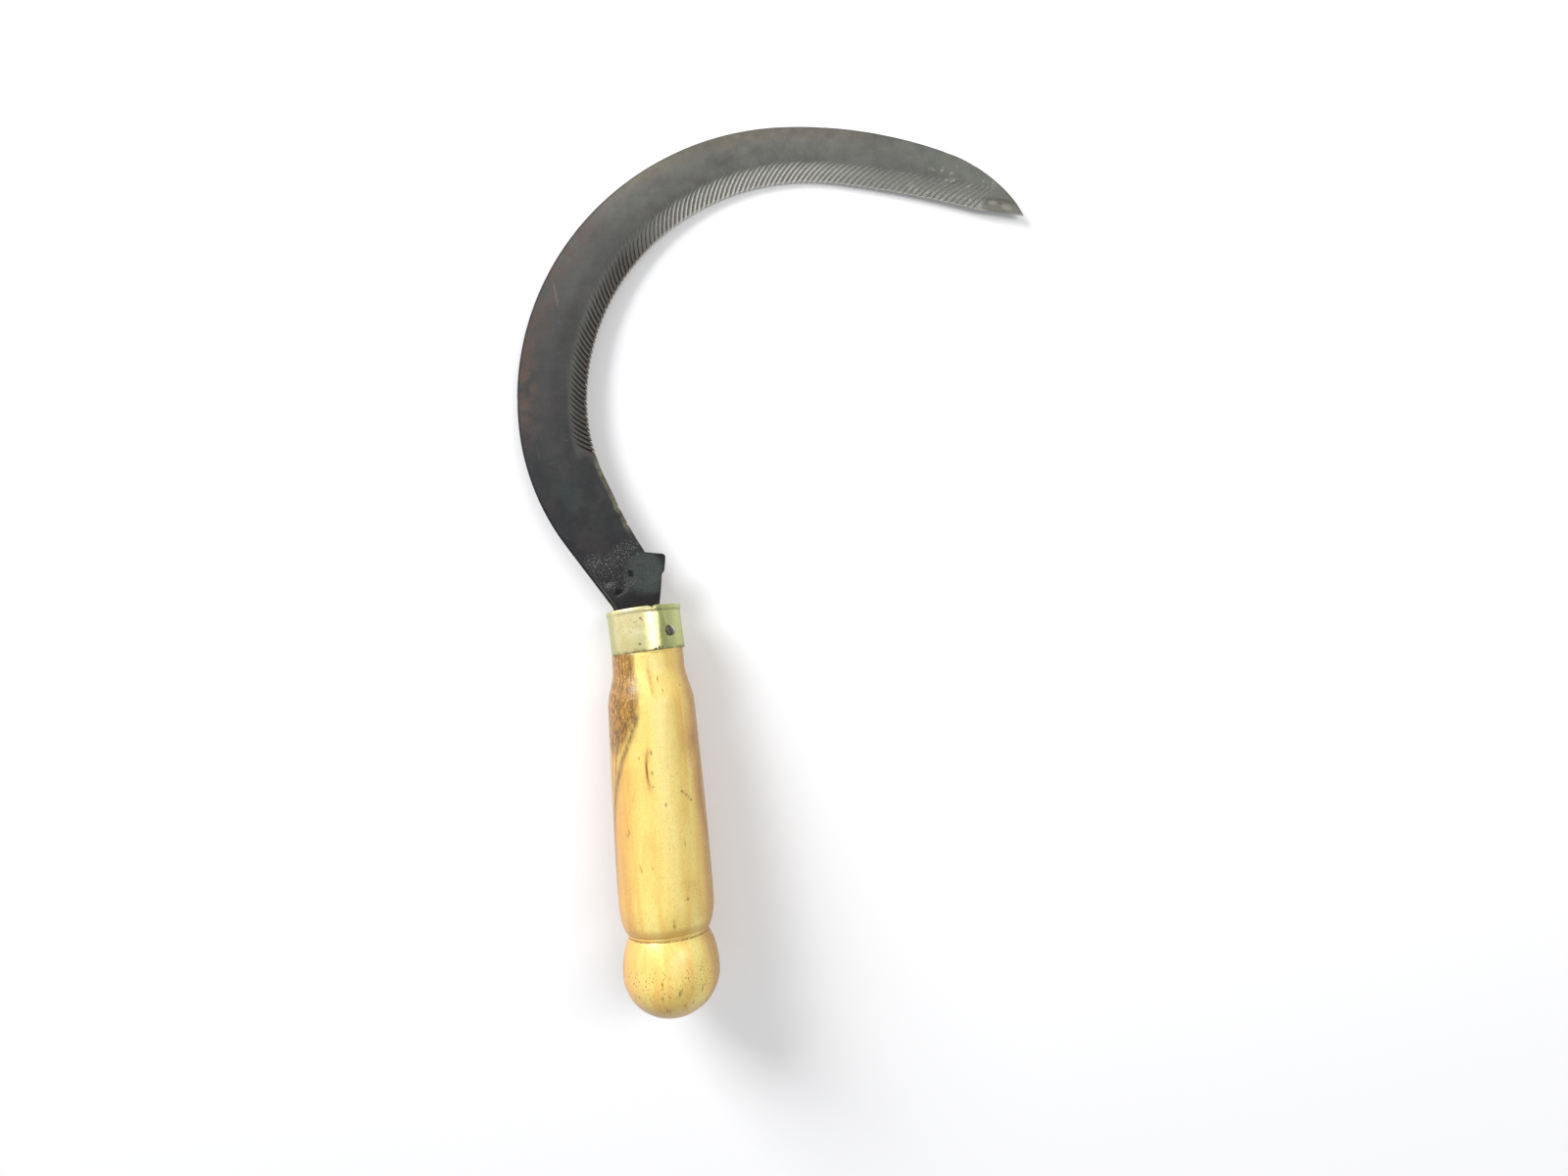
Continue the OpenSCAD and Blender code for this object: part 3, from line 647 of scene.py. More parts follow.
def handle_radius(z):
    """Turned profile: radius at z from the butt."""
    butt = POMMEL_R * np.sqrt(np.clip(1 - ((POMMEL_Z - z) / POMMEL_LEN) ** 2, 0, 1))
    s = np.clip((z - POMMEL_Z) / (WAIST_Z - POMMEL_Z), 0, 1)
    rise = WAIST_R + (POMMEL_R - WAIST_R) * np.clip(1 - s * s, 0, 1) ** 0.8
    s = np.clip((GRIP_Z - z) / (GRIP_Z - WAIST_Z), 0, 1)
    fall = WAIST_R + (GRIP_R - WAIST_R) * np.clip(1 - s * s, 0, 1) ** 0.7
    s = np.clip((SHOULDER_Z - z) / (SHOULDER_Z - GRIP_Z), 0, 1)
    side = SHOULDER_R + (GRIP_R - SHOULDER_R) * np.sin(np.pi / 2 * s)
    s = np.clip((z - SHOULDER_Z) / (WOOD_NECK_Z - SHOULDER_Z), 0, 1)
    shoulder = WOOD_NECK_R + (SHOULDER_R - WOOD_NECK_R) * (0.5 + 0.5 * np.cos(np.pi * s))
    below = [z < POMMEL_Z, z < WAIST_Z, z < GRIP_Z, z < SHOULDER_Z]
    return np.select(below, [butt, rise, fall, side], shoulder)


def turned_from(turn, degrees):
    """Angle in radians from a place on the round, given in degrees, the short way round."""
    return np.angle(np.exp(1j * (turn - math.radians(degrees))))


def wood_marks(turn, z):
    """How much of a pore or scar each point of the side is."""
    rng = np.random.default_rng(23)
    marks = []
    for count, low, high, widest, longest in ((60, 4, 13, 0.14, 1.0), (26, 30, 115, 0.13, 0.9)):
        for _ in range(count):
            marks.append((math.degrees(rng.uniform(-np.pi, np.pi)), rng.uniform(low, high),
                          rng.uniform(0.08, widest), rng.uniform(0.3, longest), 1.0))
    pore = np.zeros_like(turn)
    for degrees, at, half_width, half_length, strength in marks + list(SCARS):
        rows = np.abs(z[:, 0] - at) < 3 * half_length
        u = turned_from(turn[rows], degrees) * 15
        mark = strength * bell(u, half_width) * bell(z[rows] - at, half_length)
        pore[rows] = np.maximum(pore[rows], mark)
    return pore


def turned_side():
    """The handle's side as rings of points, with its turns and pores."""
    z = spread((0, 3, 26.3, 29.5, 40, 117, 123.5, HANDLE_L), (25, 91, 41, 43, 249, 43, 23))
    turn, z = np.meshgrid(circle(AROUND_HANDLE), z)
    y = z - HANDLE_L + WOOD_TOP
    sx, cz = np.sin(turn), np.cos(turn)
    body = smooth(z, 0.2, 3)
    # a hand-turned unevenness, the lathe's marks and the pressed grain
    r = handle_radius(z) + body * (0.05 * fractal(sx * 1.3, cz * 1.3, z / 22, 41)
                                   + 0.012 * noise(0, 0, z / 0.9, 43)
                                   + 0.010 * noise(sx * 26, cz * 26, z / 7, 44))
    # ring groove at the waist: a fine cut, a ridge under it and the line below
    ridge = 0.6 + 0.4 * noise(sx * 4, cz * 4, 0, 45)
    r = r - 0.30 * bell(z - 28.4, 0.32) + 0.10 * bell(z - 27.6, 0.25) * ridge - 0.10 * bell(z - 27.05, 0.16)
    # a fine line turned under the ferrule
    r = r - 0.16 * bell(y + 0.05 * r * sx + FERRULE_L + 0.45, 0.17) * smooth(z, 117, 118.5)
    # seat of the ferrule, which lies askew, and the softened end
    seat_y = (y + FERRULE_L / 2) * math.cos(SKEW) - r * sx * math.sin(SKEW) - FERRULE_L / 2
    r = np.where(seat_y > 0.02 - FERRULE_L, np.minimum(r, SEAT_R - 0.1), r)
    r = r - 0.7 * np.maximum(z - HANDLE_L + 0.5, 0)
    # the chip at the butt's rim
    r = r - 0.5 * bell(turned_from(turn, 59) * 9, 1.2) * bell(z - 2.2, 0.7)
    pore = wood_marks(turn, z)
    for degrees, at, slope in CUTS:
        u = turned_from(turn, degrees) * 15.5
        cut = bell(z - at + slope * u, 0.16) * bell(u, 1.2)
        r = r - 0.12 * cut
        pore = np.maximum(pore, 0.35 * cut)
    r = r - 0.14 * pore * body
    return np.stack([r * sx, y, r * cz], -1), pore


def ring_at(y, x, z):
    return np.stack([x, np.full(AROUND_HANDLE, float(y)), z], -1)


def slot_ring(half_width, half_height, y):
    """A rectangle across the tang's slot, with as many points as the handle has around."""
    c, s = np.sin(circle(AROUND_HANDLE)), np.cos(circle(AROUND_HANDLE))
    k = 1 / np.maximum(np.abs(c) / half_width, np.abs(s) / half_height)
    return ring_at(y, c * k, s * k)


def wood_figure(turn, z):
    """Dark and stained strokes, the figured patch and the painted shade on the flanks, for every point."""
    degrees = np.degrees(turn)
    ragged = 1.1 * fractal(np.sin(turn) * 2.5, np.cos(turn) * 2.5, z / 9, 61)
    dark, stain = np.zeros(len(z)), np.zeros(len(z))
    for strokes, target in ((DARK_STROKES, dark), (STAIN_STROKES, stain)):
        for strength, widths, softness, seed, way in strokes:
            at, turns = np.array(sorted((b, a) for a, b in way)).T
            u = np.radians(degrees - np.interp(z, at, turns)) * 15.3 + ragged * softness
            half_width = np.interp(z, at[[0, -1]], widths)
            inside = window(z, at[0] - 1.5, at[0] + 1.5, at[-1] - 1.5, at[-1] + 1.5)
            fray = 0.72 + 0.28 * fractal(u * 1.5, z / 3.5, seed, 71 + seed)
            np.maximum(target, strength * bell(u, half_width) * inside * fray, out=target)
    # the dark figured patch on the left of the shoulder, and the band that runs out of it
    low = np.interp(z, [84, 92, 101, 111, 121], [-62, -76, -80, -84, -84])
    high = np.interp(z, [84, 92, 96, 101, 110, 118.5, 121], [-50, -35, -20, -12, -9, -14, -16])
    wavy = 7 * fractal(np.sin(turn) * 5, np.cos(turn) * 5, z / 5, 63)
    inside = smooth(degrees + wavy, low, low + 8) * (1 - smooth(degrees + 1.3 * wavy, high - 9, high + 7))
    figure = inside * smooth(z, 84, 92)
    # the knot at the right
    knot_x = (np.radians(degrees - 70.5) * 15.0 + 0.6 * ragged) / 1.9
    far = np.hypot(knot_x, (z - 91) / 2.1)
    dark = np.maximum(dark, 0.8 * bell(far, 1) * (0.7 + 0.3 * np.cos(far * 9)))
    stain = np.maximum(stain, 1.1 * bell(far, 3.4))
    # painted shade: the left flank darker, where the wood is also a deeper orange, and the right flank a
    # little darker
    left = window(-degrees, 6, 62, 120, 165)
    right = 0.7 * window(degrees, 44, 80, 120, 165)
    return {"dark": dark, "stain": stain, "figure": figure, "shade": np.maximum(left, right)}


def build_handle():
    side, pore = turned_side()
    sx, cz = np.sin(circle(AROUND_HANDLE)), np.cos(circle(AROUND_HANDLE))
    # the butt's flat with the lathe's centre mark, from the mark's bottom outwards
    butt_y = WOOD_TOP - HANDLE_L
    flat = [ring_at(butt_y + sunk, share * BUTT_FLAT_R * sx, share * BUTT_FLAT_R * cz)
            for share, sunk in ((0.10, 0.8), (0.22, 0.35), (0.35, 0.02), (0.75, 0.0))]
    # the end under the ferrule's rim, then down the slot for the tang
    end = [ring_at(WOOD_TOP, share * 11.2 * sx, share * 11.2 * cz) for share in (0.86, 0.66)]
    end += [slot_ring(half_width, 0.85, WOOD_TOP - deep)
            for half_width, deep in ((4.35, 0.0), (4.35, 0.6), (1.75, 63.0), (0.3, 66.5))]
    rings = np.concatenate([flat, side, end])
    verts = rings.reshape(-1, 3)
    faces = ring_faces(len(rings), AROUND_HANDLE, flip=True)
    first = tuple(range(AROUND_HANDLE))
    last = (len(rings) - 1) * AROUND_HANDLE
    faces += [first, tuple(last + i for i in first[::-1])]
    turn = np.tile(circle(AROUND_HANDLE), len(rings))
    z = verts[:, 1] - butt_y
    pore = np.pad(pore, ((len(flat), len(end)), (0, 0))).ravel()
    attributes = {"around": np.stack([turn * 15.5, z, 0 * z], 1), "pore": pore, **wood_figure(turn, z)}
    return make("handle", verts, faces, attributes, 50)


# Ferrule and nail
AROUND_FERRULE = 320
TORN_AT = 22
# Pits seen in the photo: turn, place along the ferrule and radius
FERRULE_PITS = ((6, -3.9, 0.30), (8, -4.4, 0.22), (0.5, -12.4, 0.35), (-1, -4.9, 0.18), (-4, -5.1, 0.18),
                (30, -14.4, 0.5), (24, -14.6, 0.4), (35, -14.3, 0.3), (-12, -8.0, 0.16))


def skewed(p):
    """From the ferrule's own frame to the tool's frame."""
    x, y, z = p[:, 0], p[:, 1] + FERRULE_L / 2, p[:, 2]
    c, s = math.cos(SKEW), math.sin(SKEW)
    return np.stack([x * c - y * s, x * s + y * c - FERRULE_L / 2, z], 1)


def ferrule_pits(turn, y):
    """How deep in a black pit each point lies, from 0 to 1."""
    rng = np.random.default_rng(31)
    pits = [(rng.uniform(-70, 66), rng.uniform(-14.2, -2.5), rng.uniform(0.07, 0.13)) for _ in range(30)]
    pits += [(degrees - 4, at, radius) for degrees, at, radius in FERRULE_PITS]
    deep = np.zeros_like(y)
    for degrees, at, radius in pits:
        far = np.hypot(turned_from(turn, degrees) * FERRULE_R, y - at)
        deep = np.maximum(deep, bell(far, radius))
    return deep


def degrees_from(turn, degrees):
    return np.degrees(turned_from(turn, degrees))


def at_nail(turn, y):
    """Change of the radius round the nail: a crease, the dimple drawn in by it, and a ridge above it."""
    du, dv = turned_from(turn, math.degrees(NAIL_TURN)) * FERRULE_R, y + NAIL_Y
    far = np.hypot(du, dv)
    crease = -0.1 * bell(np.degrees(du / FERRULE_R) + 24, 6) * window(y, -12, -3, -1.9, -1.2)
    # the dimple has a lip on its right
    dimple = 0.09 * bell(far - 2.35, 0.45) * (0.55 + 0.45 * np.tanh(du + dv)) - 0.2 * bell(far, 1.9)
    return crease + dimple + 0.1 * bell(du + 2.6 + 0.22 * (y + 2), 0.55) * window(y, -8.5, -6, -1.4, -0.6)


def tube_radius(turn, y):
    """The worn tube's radius, with the rolled rim, the flat hammered round the nail and the torn rim."""
    sx, cz = np.sin(turn), np.cos(turn)
    # rolled rim and eased lower edge
    r = FERRULE_R + np.interp(y, [-2.2, -1.9, -1.4, -0.8, -0.35, -0.1, 0],
                              [0, 0.02, 0.24, 0.34, 0.24, 0.08, -0.14])
    r = r - 0.2 * smooth(-FERRULE_L + 0.35 - y, 0, 0.35)
    r = r + 0.045 * fractal(sx * 2.2, cz * 2.2, y / 5, 81) + 0.012 * noise(sx * 14, cz * 14, y / 1.4, 82)
    a = turned_from(turn, math.degrees(NAIL_TURN))
    flat = (FERRULE_R - 0.22) / np.maximum(np.cos(a), 0.2)
    r = np.where(np.abs(a) < 1.2, soft_min(0.34, r, flat), r) + at_nail(turn, y)
    # the fold beside the tear, and the groove under the rim on the right
    r = r - 0.12 * bell(degrees_from(turn, TORN_AT) - 1.5, 3.2) * smooth(y, -3, -1)
    return r - 0.17 * window(degrees_from(turn, 48), -26, -20, 24, 34) * bell(y + 1.75, 0.34)


def edge_shift(turn, y):
    """How far along the tube its rim has sunk where it is torn, and its lower edge is cut unevenly."""
    torn = 0.55 * bell(degrees_from(turn, TORN_AT), 3.2) * smooth(y, -3.4, 0)
    wavy = 0.1 * noise(np.sin(turn) * 3, np.cos(turn) * 3, 0, 83) * smooth(-y, 13.5, 15)
    return wavy + 0.22 * bell(degrees_from(turn, 18), 4.5) * smooth(-y, 14.2, 15) - torn


def ferrule_bore(low, high):
    """Rings over the lip at the mouth and down the bore to the lower edge."""
    rings = []
    widths = [SEAT_R + 0.25, SEAT_R + 0.06] + [SEAT_R] * 23
    sunk = [-0.01, 0.2] + [0] * 23
    for share, width, down in zip(np.append(0, np.linspace(0, 1, 24)), widths, sunk):
        ring = high * (1 - share) + low * share
        scale = width / np.hypot(ring[:, 0], ring[:, 2])
        rings.append(np.stack([ring[:, 0] * scale, ring[:, 1] - down, ring[:, 2] * scale], 1))
    return rings


def build_ferrule():
    y = spread((-FERRULE_L, -FERRULE_L + 0.5, -2.2, 0), (5, 83, 25))
    turn, y = np.meshgrid(circle(AROUND_FERRULE), y)
    pit = ferrule_pits(turn, y)
    r = tube_radius(turn, y) - 0.07 * pit
    outer = np.stack([r * np.sin(turn), y + edge_shift(turn, y), r * np.cos(turn)], -1)
    inner = ferrule_bore(outer[0], outer[-1])
    rings = np.concatenate([outer, inner])
    local = rings.reshape(-1, 3)
    faces = ring_faces(len(rings), AROUND_FERRULE, flip=True)
    # close the tube at its lower end
    last = (len(rings) - 1) * AROUND_FERRULE
    for i in range(AROUND_FERRULE):
        j = (i + 1) % AROUND_FERRULE
        faces.append((last + i, last + j, j, i))
    green = window(degrees_from(turn, 58), -33, -26, 30, 60)
    bore = ((0, len(inner)), (0, 0))
    turns = np.degrees(np.tile(circle(AROUND_FERRULE), len(rings)))
    attributes = {"around": np.stack([turns, local[:, 1], 0 * turns], 1),
                  "pit": np.pad(pit, bore).ravel(),
                  "green": np.pad(green, bore, constant_values=0.3).ravel()}
    return make("ferrule", skewed(local), faces, attributes, 50)


# The nail's profile from its point up: radius and height over the underside of its head
SHANK = ((0.2, -8.0), (0.45, -7.3), (0.9, -6.2), (0.9, -3.0), (0.9, -0.02))
HEAD = ((1.50, 0.0), (1.70, 0.03), (1.75, 0.16), (1.75, 0.26), (1.70, 0.36), (1.60, 0.44), (1.45, 0.51),
        (1.25, 0.58), (1.0, 0.63), (0.75, 0.665), (0.5, 0.69), (0.25, 0.70), (0.08, 0.70))
HEAD_SUNK = 0.30


def build_nail():
    around = 72
    th = circle(around, 0)
    uneven = 1 + 0.045 * noise(np.cos(th) * 1.6, np.sin(th) * 1.6, 0, 91)
    rows = [np.stack([r * np.cos(th), r * np.sin(th), np.full(around, z)], -1) for r, z in SHANK]
    for r, z in HEAD:
        x, y = r * uneven * np.cos(th), r * uneven * np.sin(th)
        height = np.full(around, z)
        if z > 0.3:
            # dents, and one scratch across the head
            height = height - 0.10 * np.clip(noise(x / 0.7, y / 0.7, 0, 92), 0, 1)
            across, along = (x - y) * math.sqrt(0.5), (x + y) * math.sqrt(0.5)
            height = height - 0.16 * bell(across, 0.13) * smooth(1.5 - np.abs(along), 0, 0.4)
        rows.append(np.stack([x, y, height], -1))
    p = np.array(rows).reshape(-1, 3) - [0, 0, HEAD_SUNK]
    # local +Z points out of the wood at the nail's turn, from the ferrule's surface
    z = p[:, 2] + FERRULE_R
    c, s = math.cos(NAIL_TURN), math.sin(NAIL_TURN)
    q = np.stack([p[:, 0] * c + z * s, p[:, 1] - NAIL_Y, -p[:, 0] * s + z * c], 1)
    faces = ring_faces(len(rows), around)
    last = (len(rows) - 1) * around
    faces += [tuple(range(around))[::-1], tuple(last + i for i in range(around))]
    return make("nail", skewed(q), faces, {"local": p}, 35)


# Materials. Colours are linear red, green and blue.
class Mat:
    """A node material: a ground colour with coats of paint over it, each through masks."""

    def __init__(self, name):
        self.material = bpy.data.materials.new(name)
        self.material.use_nodes = True
        self.tree = self.material.node_tree
        self.tree.nodes.clear()
        self.shader = self.node("BsdfPrincipled")
        self.output = self.node("OutputMaterial", self.shader.outputs[0])

    def node(self, kind, *values, **settings):
        """A shader node with its first inputs fed in order, where None leaves one as it is."""
        node = self.tree.nodes.new("ShaderNode" + kind)
        for name, value in settings.items():
            setattr(node, name, value)
        for socket, value in zip(node.inputs, values):
            self.feed(socket, value)
        return node

    def feed(self, socket, value):
        if isinstance(value, bpy.types.NodeSocket):
            self.tree.links.new(value, socket)
        elif value is not None:
            socket.default_value = (*value, 1) if socket.type == "RGBA" else value

    def attr(self, name, output="Fac"):
        return self.node("Attribute", attribute_name=name).outputs[output]

    def xyz(self, vector):
        return self.node("SeparateXYZ", vector).outputs[:3]

    def scaled(self, vector, x, y, z, moved=(0, 0, 0)):
        return self.node("Mapping", vector, moved, None, (x, y, z)).outputs[0]

    def noise(self, vector, scale, detail=3, rough=0.5, distort=0):
        unused = (None, None, None)
        return self.node("TexNoise", vector, None, scale, detail, rough, *unused, distort).outputs[0]

    def cells(self, vector, scale):
        return self.node("TexVoronoi", vector, None, scale).outputs["Distance"]

    def math(self, operation, *values):
        return self.node("Math", *values, operation=operation).outputs[0]

    def times(self, *values):
        return functools.reduce(functools.partial(self.math, "MULTIPLY"), values)

    def plus(self, *values):
        return functools.reduce(functools.partial(self.math, "ADD"), values)

    def most(self, *values):
        return functools.reduce(functools.partial(self.math, "MAXIMUM"), values)

    def span(self, value, a, b, low=0, high=1, kind="SMOOTHSTEP"):
        """From low at a to high at b, and level beyond them."""
        return self.node("MapRange", value, a, b, low, high, interpolation_type=kind).outputs[0]

    def even(self, value, a, b, low, high):
        return self.span(value, a, b, low, high, "LINEAR")

    def near(self, value, at, none, full):
        """0 where the value is none away from a place, and 1 within full of it."""
        return self.span(self.math("ABSOLUTE", self.math("SUBTRACT", value, at)), none, full)

    def ramp(self, value, *stops):
        node = self.node("ValToRGB", value)
        elements = node.color_ramp.elements
        elements.remove(elements[0])
        elements[0].position = stops[0][0]
        elements[0].color = (*stops[0][1], 1)
        for position, colour in stops[1:]:
            elements.new(position).color = (*colour, 1)
        return node.outputs[0]

    def mix(self, factor, a, b, mode="MIX"):
        unused = (None,) * 5
        return self.node("Mix", factor, *unused, a, b, data_type="RGBA", blend_type=mode).outputs[2]

    def give(self, *pairs):
        for name, value in pairs:
            self.feed(self.shader.inputs[name], value)

    def paint(self, colour, *masks):
        self.colour = self.mix(self.times(*masks), self.colour, colour)

    def shade(self, *shades):
        self.colour = self.mix(1, self.colour, self.times(*shades), "MULTIPLY")

    def finish(self, ob, metallic, roughness, height, strength, distance):
        """Wires the shader, with a fine bump, and gives the material to the piece."""
        bump = self.node("Bump", strength, distance)
        self.feed(bump.inputs["Height"], height)
        self.give(("Base Color", self.colour), ("Metallic", metallic), ("Roughness", roughness),
                  ("Normal", bump.outputs[0]))
        ob.data.materials.append(self.material)


class Steel(Mat):
    """Forged steel. s runs along the edge from the heel, w in from the edge, back in from the back."""

    def __init__(self):
        super().__init__("dark_steel")
        self.tool = self.attr("tool", "Vector")
        self.x, self.y, _ = self.xyz(self.tool)
        self.s, self.w, self.back = self.xyz(self.attr("place", "Vector"))
        self.steep, self.gentle, self.up = map(self.attr, ("steep", "gentle", "face_up"))
        self.mid = self.noise(self.tool, 0.22, 4, 0.6, 0.3)
        self.fine = self.noise(self.tool, 2.2, 4, 0.65)
        self.grit = self.noise(self.tool, 7, 3, 0.7)
        self.along = self.times(self.s, 1 / 260)

    def blob(self, x, y, rx, ry, turn=0.0, soft=0.55, by=None, ragged=1.6):
        """1 within a turned ellipse of the upper face, fading out at a rim that a noise makes ragged."""
        c, s = math.cos(math.radians(turn)), math.sin(math.radians(turn))
        dx, dy = self.plus(self.x, -x), self.plus(self.y, -y)
        a = self.plus(self.times(dx, c / rx), self.times(dy, s / rx))
        b = self.plus(self.times(dx, -s / ry), self.times(dy, c / ry))
        uneven = self.times(self.plus(by or self.mid, -0.5), ragged)
        far = self.plus(self.times(a, a), self.times(b, b), uneven)
        return self.times(self.span(far, 1 + soft, 1 - soft), self.up)

    def fleck(self, x, y, rx, ry, turn, soft, ragged):
        return self.blob(x, y, rx, ry, turn, soft, self.fine, ragged)


def paint_ground(m, s, w, back):
    """From the dark neck to the greyer toe, with blooms, a paler crown that is partly painted sheen, painted
    shade down the middle and fine scratches.
    """
    m.colour = m.ramp(m.along, (0, (0.042, 0.043, 0.046)), (0.16, (0.054, 0.055, 0.056)),
                      (0.34, (0.092, 0.091, 0.086)), (0.5, (0.16, 0.158, 0.144)),
                      (0.64, (0.215, 0.212, 0.188)), (0.82, (0.22, 0.222, 0.195)), (1, (0.2, 0.202, 0.176)))
    m.paint((0.085, 0.11, 0.095), m.span(m.noise(m.tool, 0.07, 2, 0.5, 0.8), 0.42, 0.66), 0.15)
    m.paint((0.17, 0.205, 0.19), m.blob(1.6, 12, 7.2, 7), m.span(m.fine, 0.35, 0.6, 0.5, 0.9))
    m.paint((0.055, 0.075, 0.078), m.blob(-22.5, 41.7, 4, 6), 0.4)
    # brown and purple bloom towards the back of the belly
    m.paint((0.125, 0.082, 0.066), m.span(back, 10, 2), m.span(m.mid, 0.36, 0.6), m.span(s, 44, 60),
            m.span(s, 125, 100), 0.85)
    plum = m.noise(m.scaled(m.tool, 1, 1, 1, (31, 7, 0)), 0.1, 3, 0.6, 0.5)
    m.paint((0.11, 0.08, 0.085), m.span(plum, 0.48, 0.66), m.span(s, 190, 140), 0.3)
    # a paler, brownish band beside the back on the upper left and crown: partly brownish patina, partly
    # painted sheen
    pale = m.times(m.span(back, 7, 1.8), m.span(s, 105, 135), m.span(s, 222, 185))
    m.paint((0.215, 0.19, 0.15), pale, m.span(m.noise(m.tool, 0.35, 4, 0.6, 0.4), 0.3, 0.62, 0.35, 0.85))
    m.paint((0.16, 0.115, 0.085), pale, m.span(m.noise(m.tool, 0.5, 4, 0.7, 0.6), 0.52, 0.62), 0.35)
    # painted shade down the middle of the face, then patchy tone everywhere
    m.paint((0.075, 0.078, 0.074), m.span(w, 4.5, 8.5), m.span(back, 4, 9), 0.21)
    big = m.noise(m.tool, 0.045, 3, 0.55, 0.6)
    m.shade(m.even(big, 0.25, 0.75, 0.88, 1.12), m.even(m.mid, 0.25, 0.75, 0.93, 1.07),
            m.even(m.fine, 0.2, 0.8, 0.84, 1.16))
    # fine pale and dark scratches over the face
    scratches = m.noise(m.scaled(m.tool, 2.4, 0.22, 1, (3, 5, 0)), 1, 3, 0.6, 0.8)
    m.paint((0.25, 0.25, 0.23), m.span(scratches, 0.6, 0.72, 0, 0.12))
    m.paint((0.035, 0.035, 0.035), m.span(scratches, 0.38, 0.28, 0, 0.14))


def paint_teeth(m, s, w):
    """Brown shallow walls and lands, steep walls and groove floors painted near black as shade, and pale dust
    at the toe.
    """
    m.paint((0.15, 0.145, 0.13), m.span(w, 7.4, 5.8), m.span(s, 38, 42), m.span(s, 120, 90), 0.5)
    m.paint((0.05, 0.05, 0.05), m.span(w, 10.5, 7), m.span(s, 96, 124), m.span(s, 196, 176, 0.4), 0.24)
    m.paint((0.19, 0.175, 0.155), m.gentle, m.span(s, 150, 105), 0.55)
    m.paint((0.15, 0.118, 0.096), m.span(w, 4, 1.2), m.span(s, 36, 42), m.span(s, 200, 165),
            m.span(m.gentle, 0.8, 0.2), m.span(m.mid, 0.35, 0.6, 0.25, 0.75))
    # painted shade: the steep walls and groove floors near black, as if turned from the light
    m.paint((0.016, 0.013, 0.012), m.steep, 0.88)
    m.paint((0.4, 0.4, 0.34), m.span(w, 4.6, 1), m.span(s, 196, 222), m.span(m.steep, 0.5, 0.1),
            m.span(m.noise(m.tool, 0.8, 4, 0.7), 0.42, 0.6, 0.15, 0.85))


def paint_rims(m, s, w, back):
    """A worn line along the edge, painted shade along the back's rim and an olive bevel by the heel."""
    m.paint((0.5, 0.47, 0.42), m.span(w, 0.4, 0.15), m.span(s, 32, 44), 0.7)
    # painted shade: a dark rim along the back, where its chamfer turns away from the light
    rim = m.most(m.times(m.span(back, 0.85, 0.55), m.span(s, 150, 96)), m.span(back, 0.55, 0.28))
    m.paint((0.026, 0.022, 0.021), rim, m.up, 0.85)
    m.paint((0.36, 0.29, 0.23), m.near(back, 1.05, 0.3, 0.08), m.span(s, 6, -6), 0.55)
    m.paint((0.2, 0.185, 0.125), m.span(w, 1.9, 0.9), m.span(s, 4, 14), m.span(s, 40, 35),
            m.span(m.mid, 0.3, 0.6))


def paint_neck(m):
    """Pale specks by the neck, dense in patches, two smears, a cake of dirt and soot."""
    spray = m.most(m.blob(-12.5, 16, 6, 3.6, -20, 0.9), m.times(m.blob(-5, 19.5, 6.5, 3.6, 30, 0.9), 0.8),
                   m.times(m.blob(-10, 12.5, 8, 7, -40, 0.9), 0.6))
    specks = m.times(m.span(m.cells(m.tool, 1.6), 0.33, 0.16), m.span(m.fine, 0.42, 0.6), spray)
    m.paint((0.95, 0.93, 0.9), specks, 0.95)
    m.paint((0.55, 0.54, 0.52), m.span(m.grit, 0.55, 0.66), spray, 0.85)
    # a few specks anywhere
    stray = m.cells(m.scaled(m.tool, 1, 1, 1, (9, 4, 0)), 0.42)
    m.paint((0.34, 0.33, 0.31), m.span(stray, 0.08, 0.035),
            m.span(m.noise(m.tool, 0.5, 2, 0.5, 0.3), 0.5, 0.56), m.up, 0.6)
    smears = m.most(m.blob(-5.3, 7.6, 1.9, 0.75, 70, 0.6), m.blob(-7.6, 5.4, 2, 0.45, 24, 0.6))
    m.paint((0.22, 0.22, 0.23), smears, m.span(m.fine, 0.36, 0.6, 0.35), 0.75)
    m.paint((0.42, 0.41, 0.39), m.fleck(-11.2, 9.1, 2, 0.9, 20, 0.6, 3), m.span(m.fine, 0.4, 0.6), 0.8)
    soot = m.most(m.fleck(-8.4, 6.6, 1.5, 0.9, 30, 0.6, 4), m.fleck(-3.6, 12.6, 1.1, 1.3, 0, 0.6, 4))
    m.paint((0.012, 0.012, 0.013), soot, 0.8)
    return specks


# Flakes of dry dirt at the toe: place, half axes in mm and turn in degrees
TOE_SPOTS = ((120.4, 142.9, 2.3, 0.8, 0), (121, 145, 0.8, 0.5, 40), (117.8, 146.6, 1, 0.5, 60),
             (114.2, 147.2, 1.3, 0.5, -30), (123.2, 147.2, 0.4, 0.3, 0), (132.1, 141.2, 0.45, 0.4, 0),
             (135.3, 139.8, 1.1, 0.4, 60), (136, 138.9, 0.6, 0.45, 0), (106.4, 142.3, 1.3, 1, 40),
             (109.8, 152.4, 0.35, 0.25, 0), (129.1, 146.7, 0.6, 0.22, -30), (126.4, 140, 0.9, 0.5, 20))


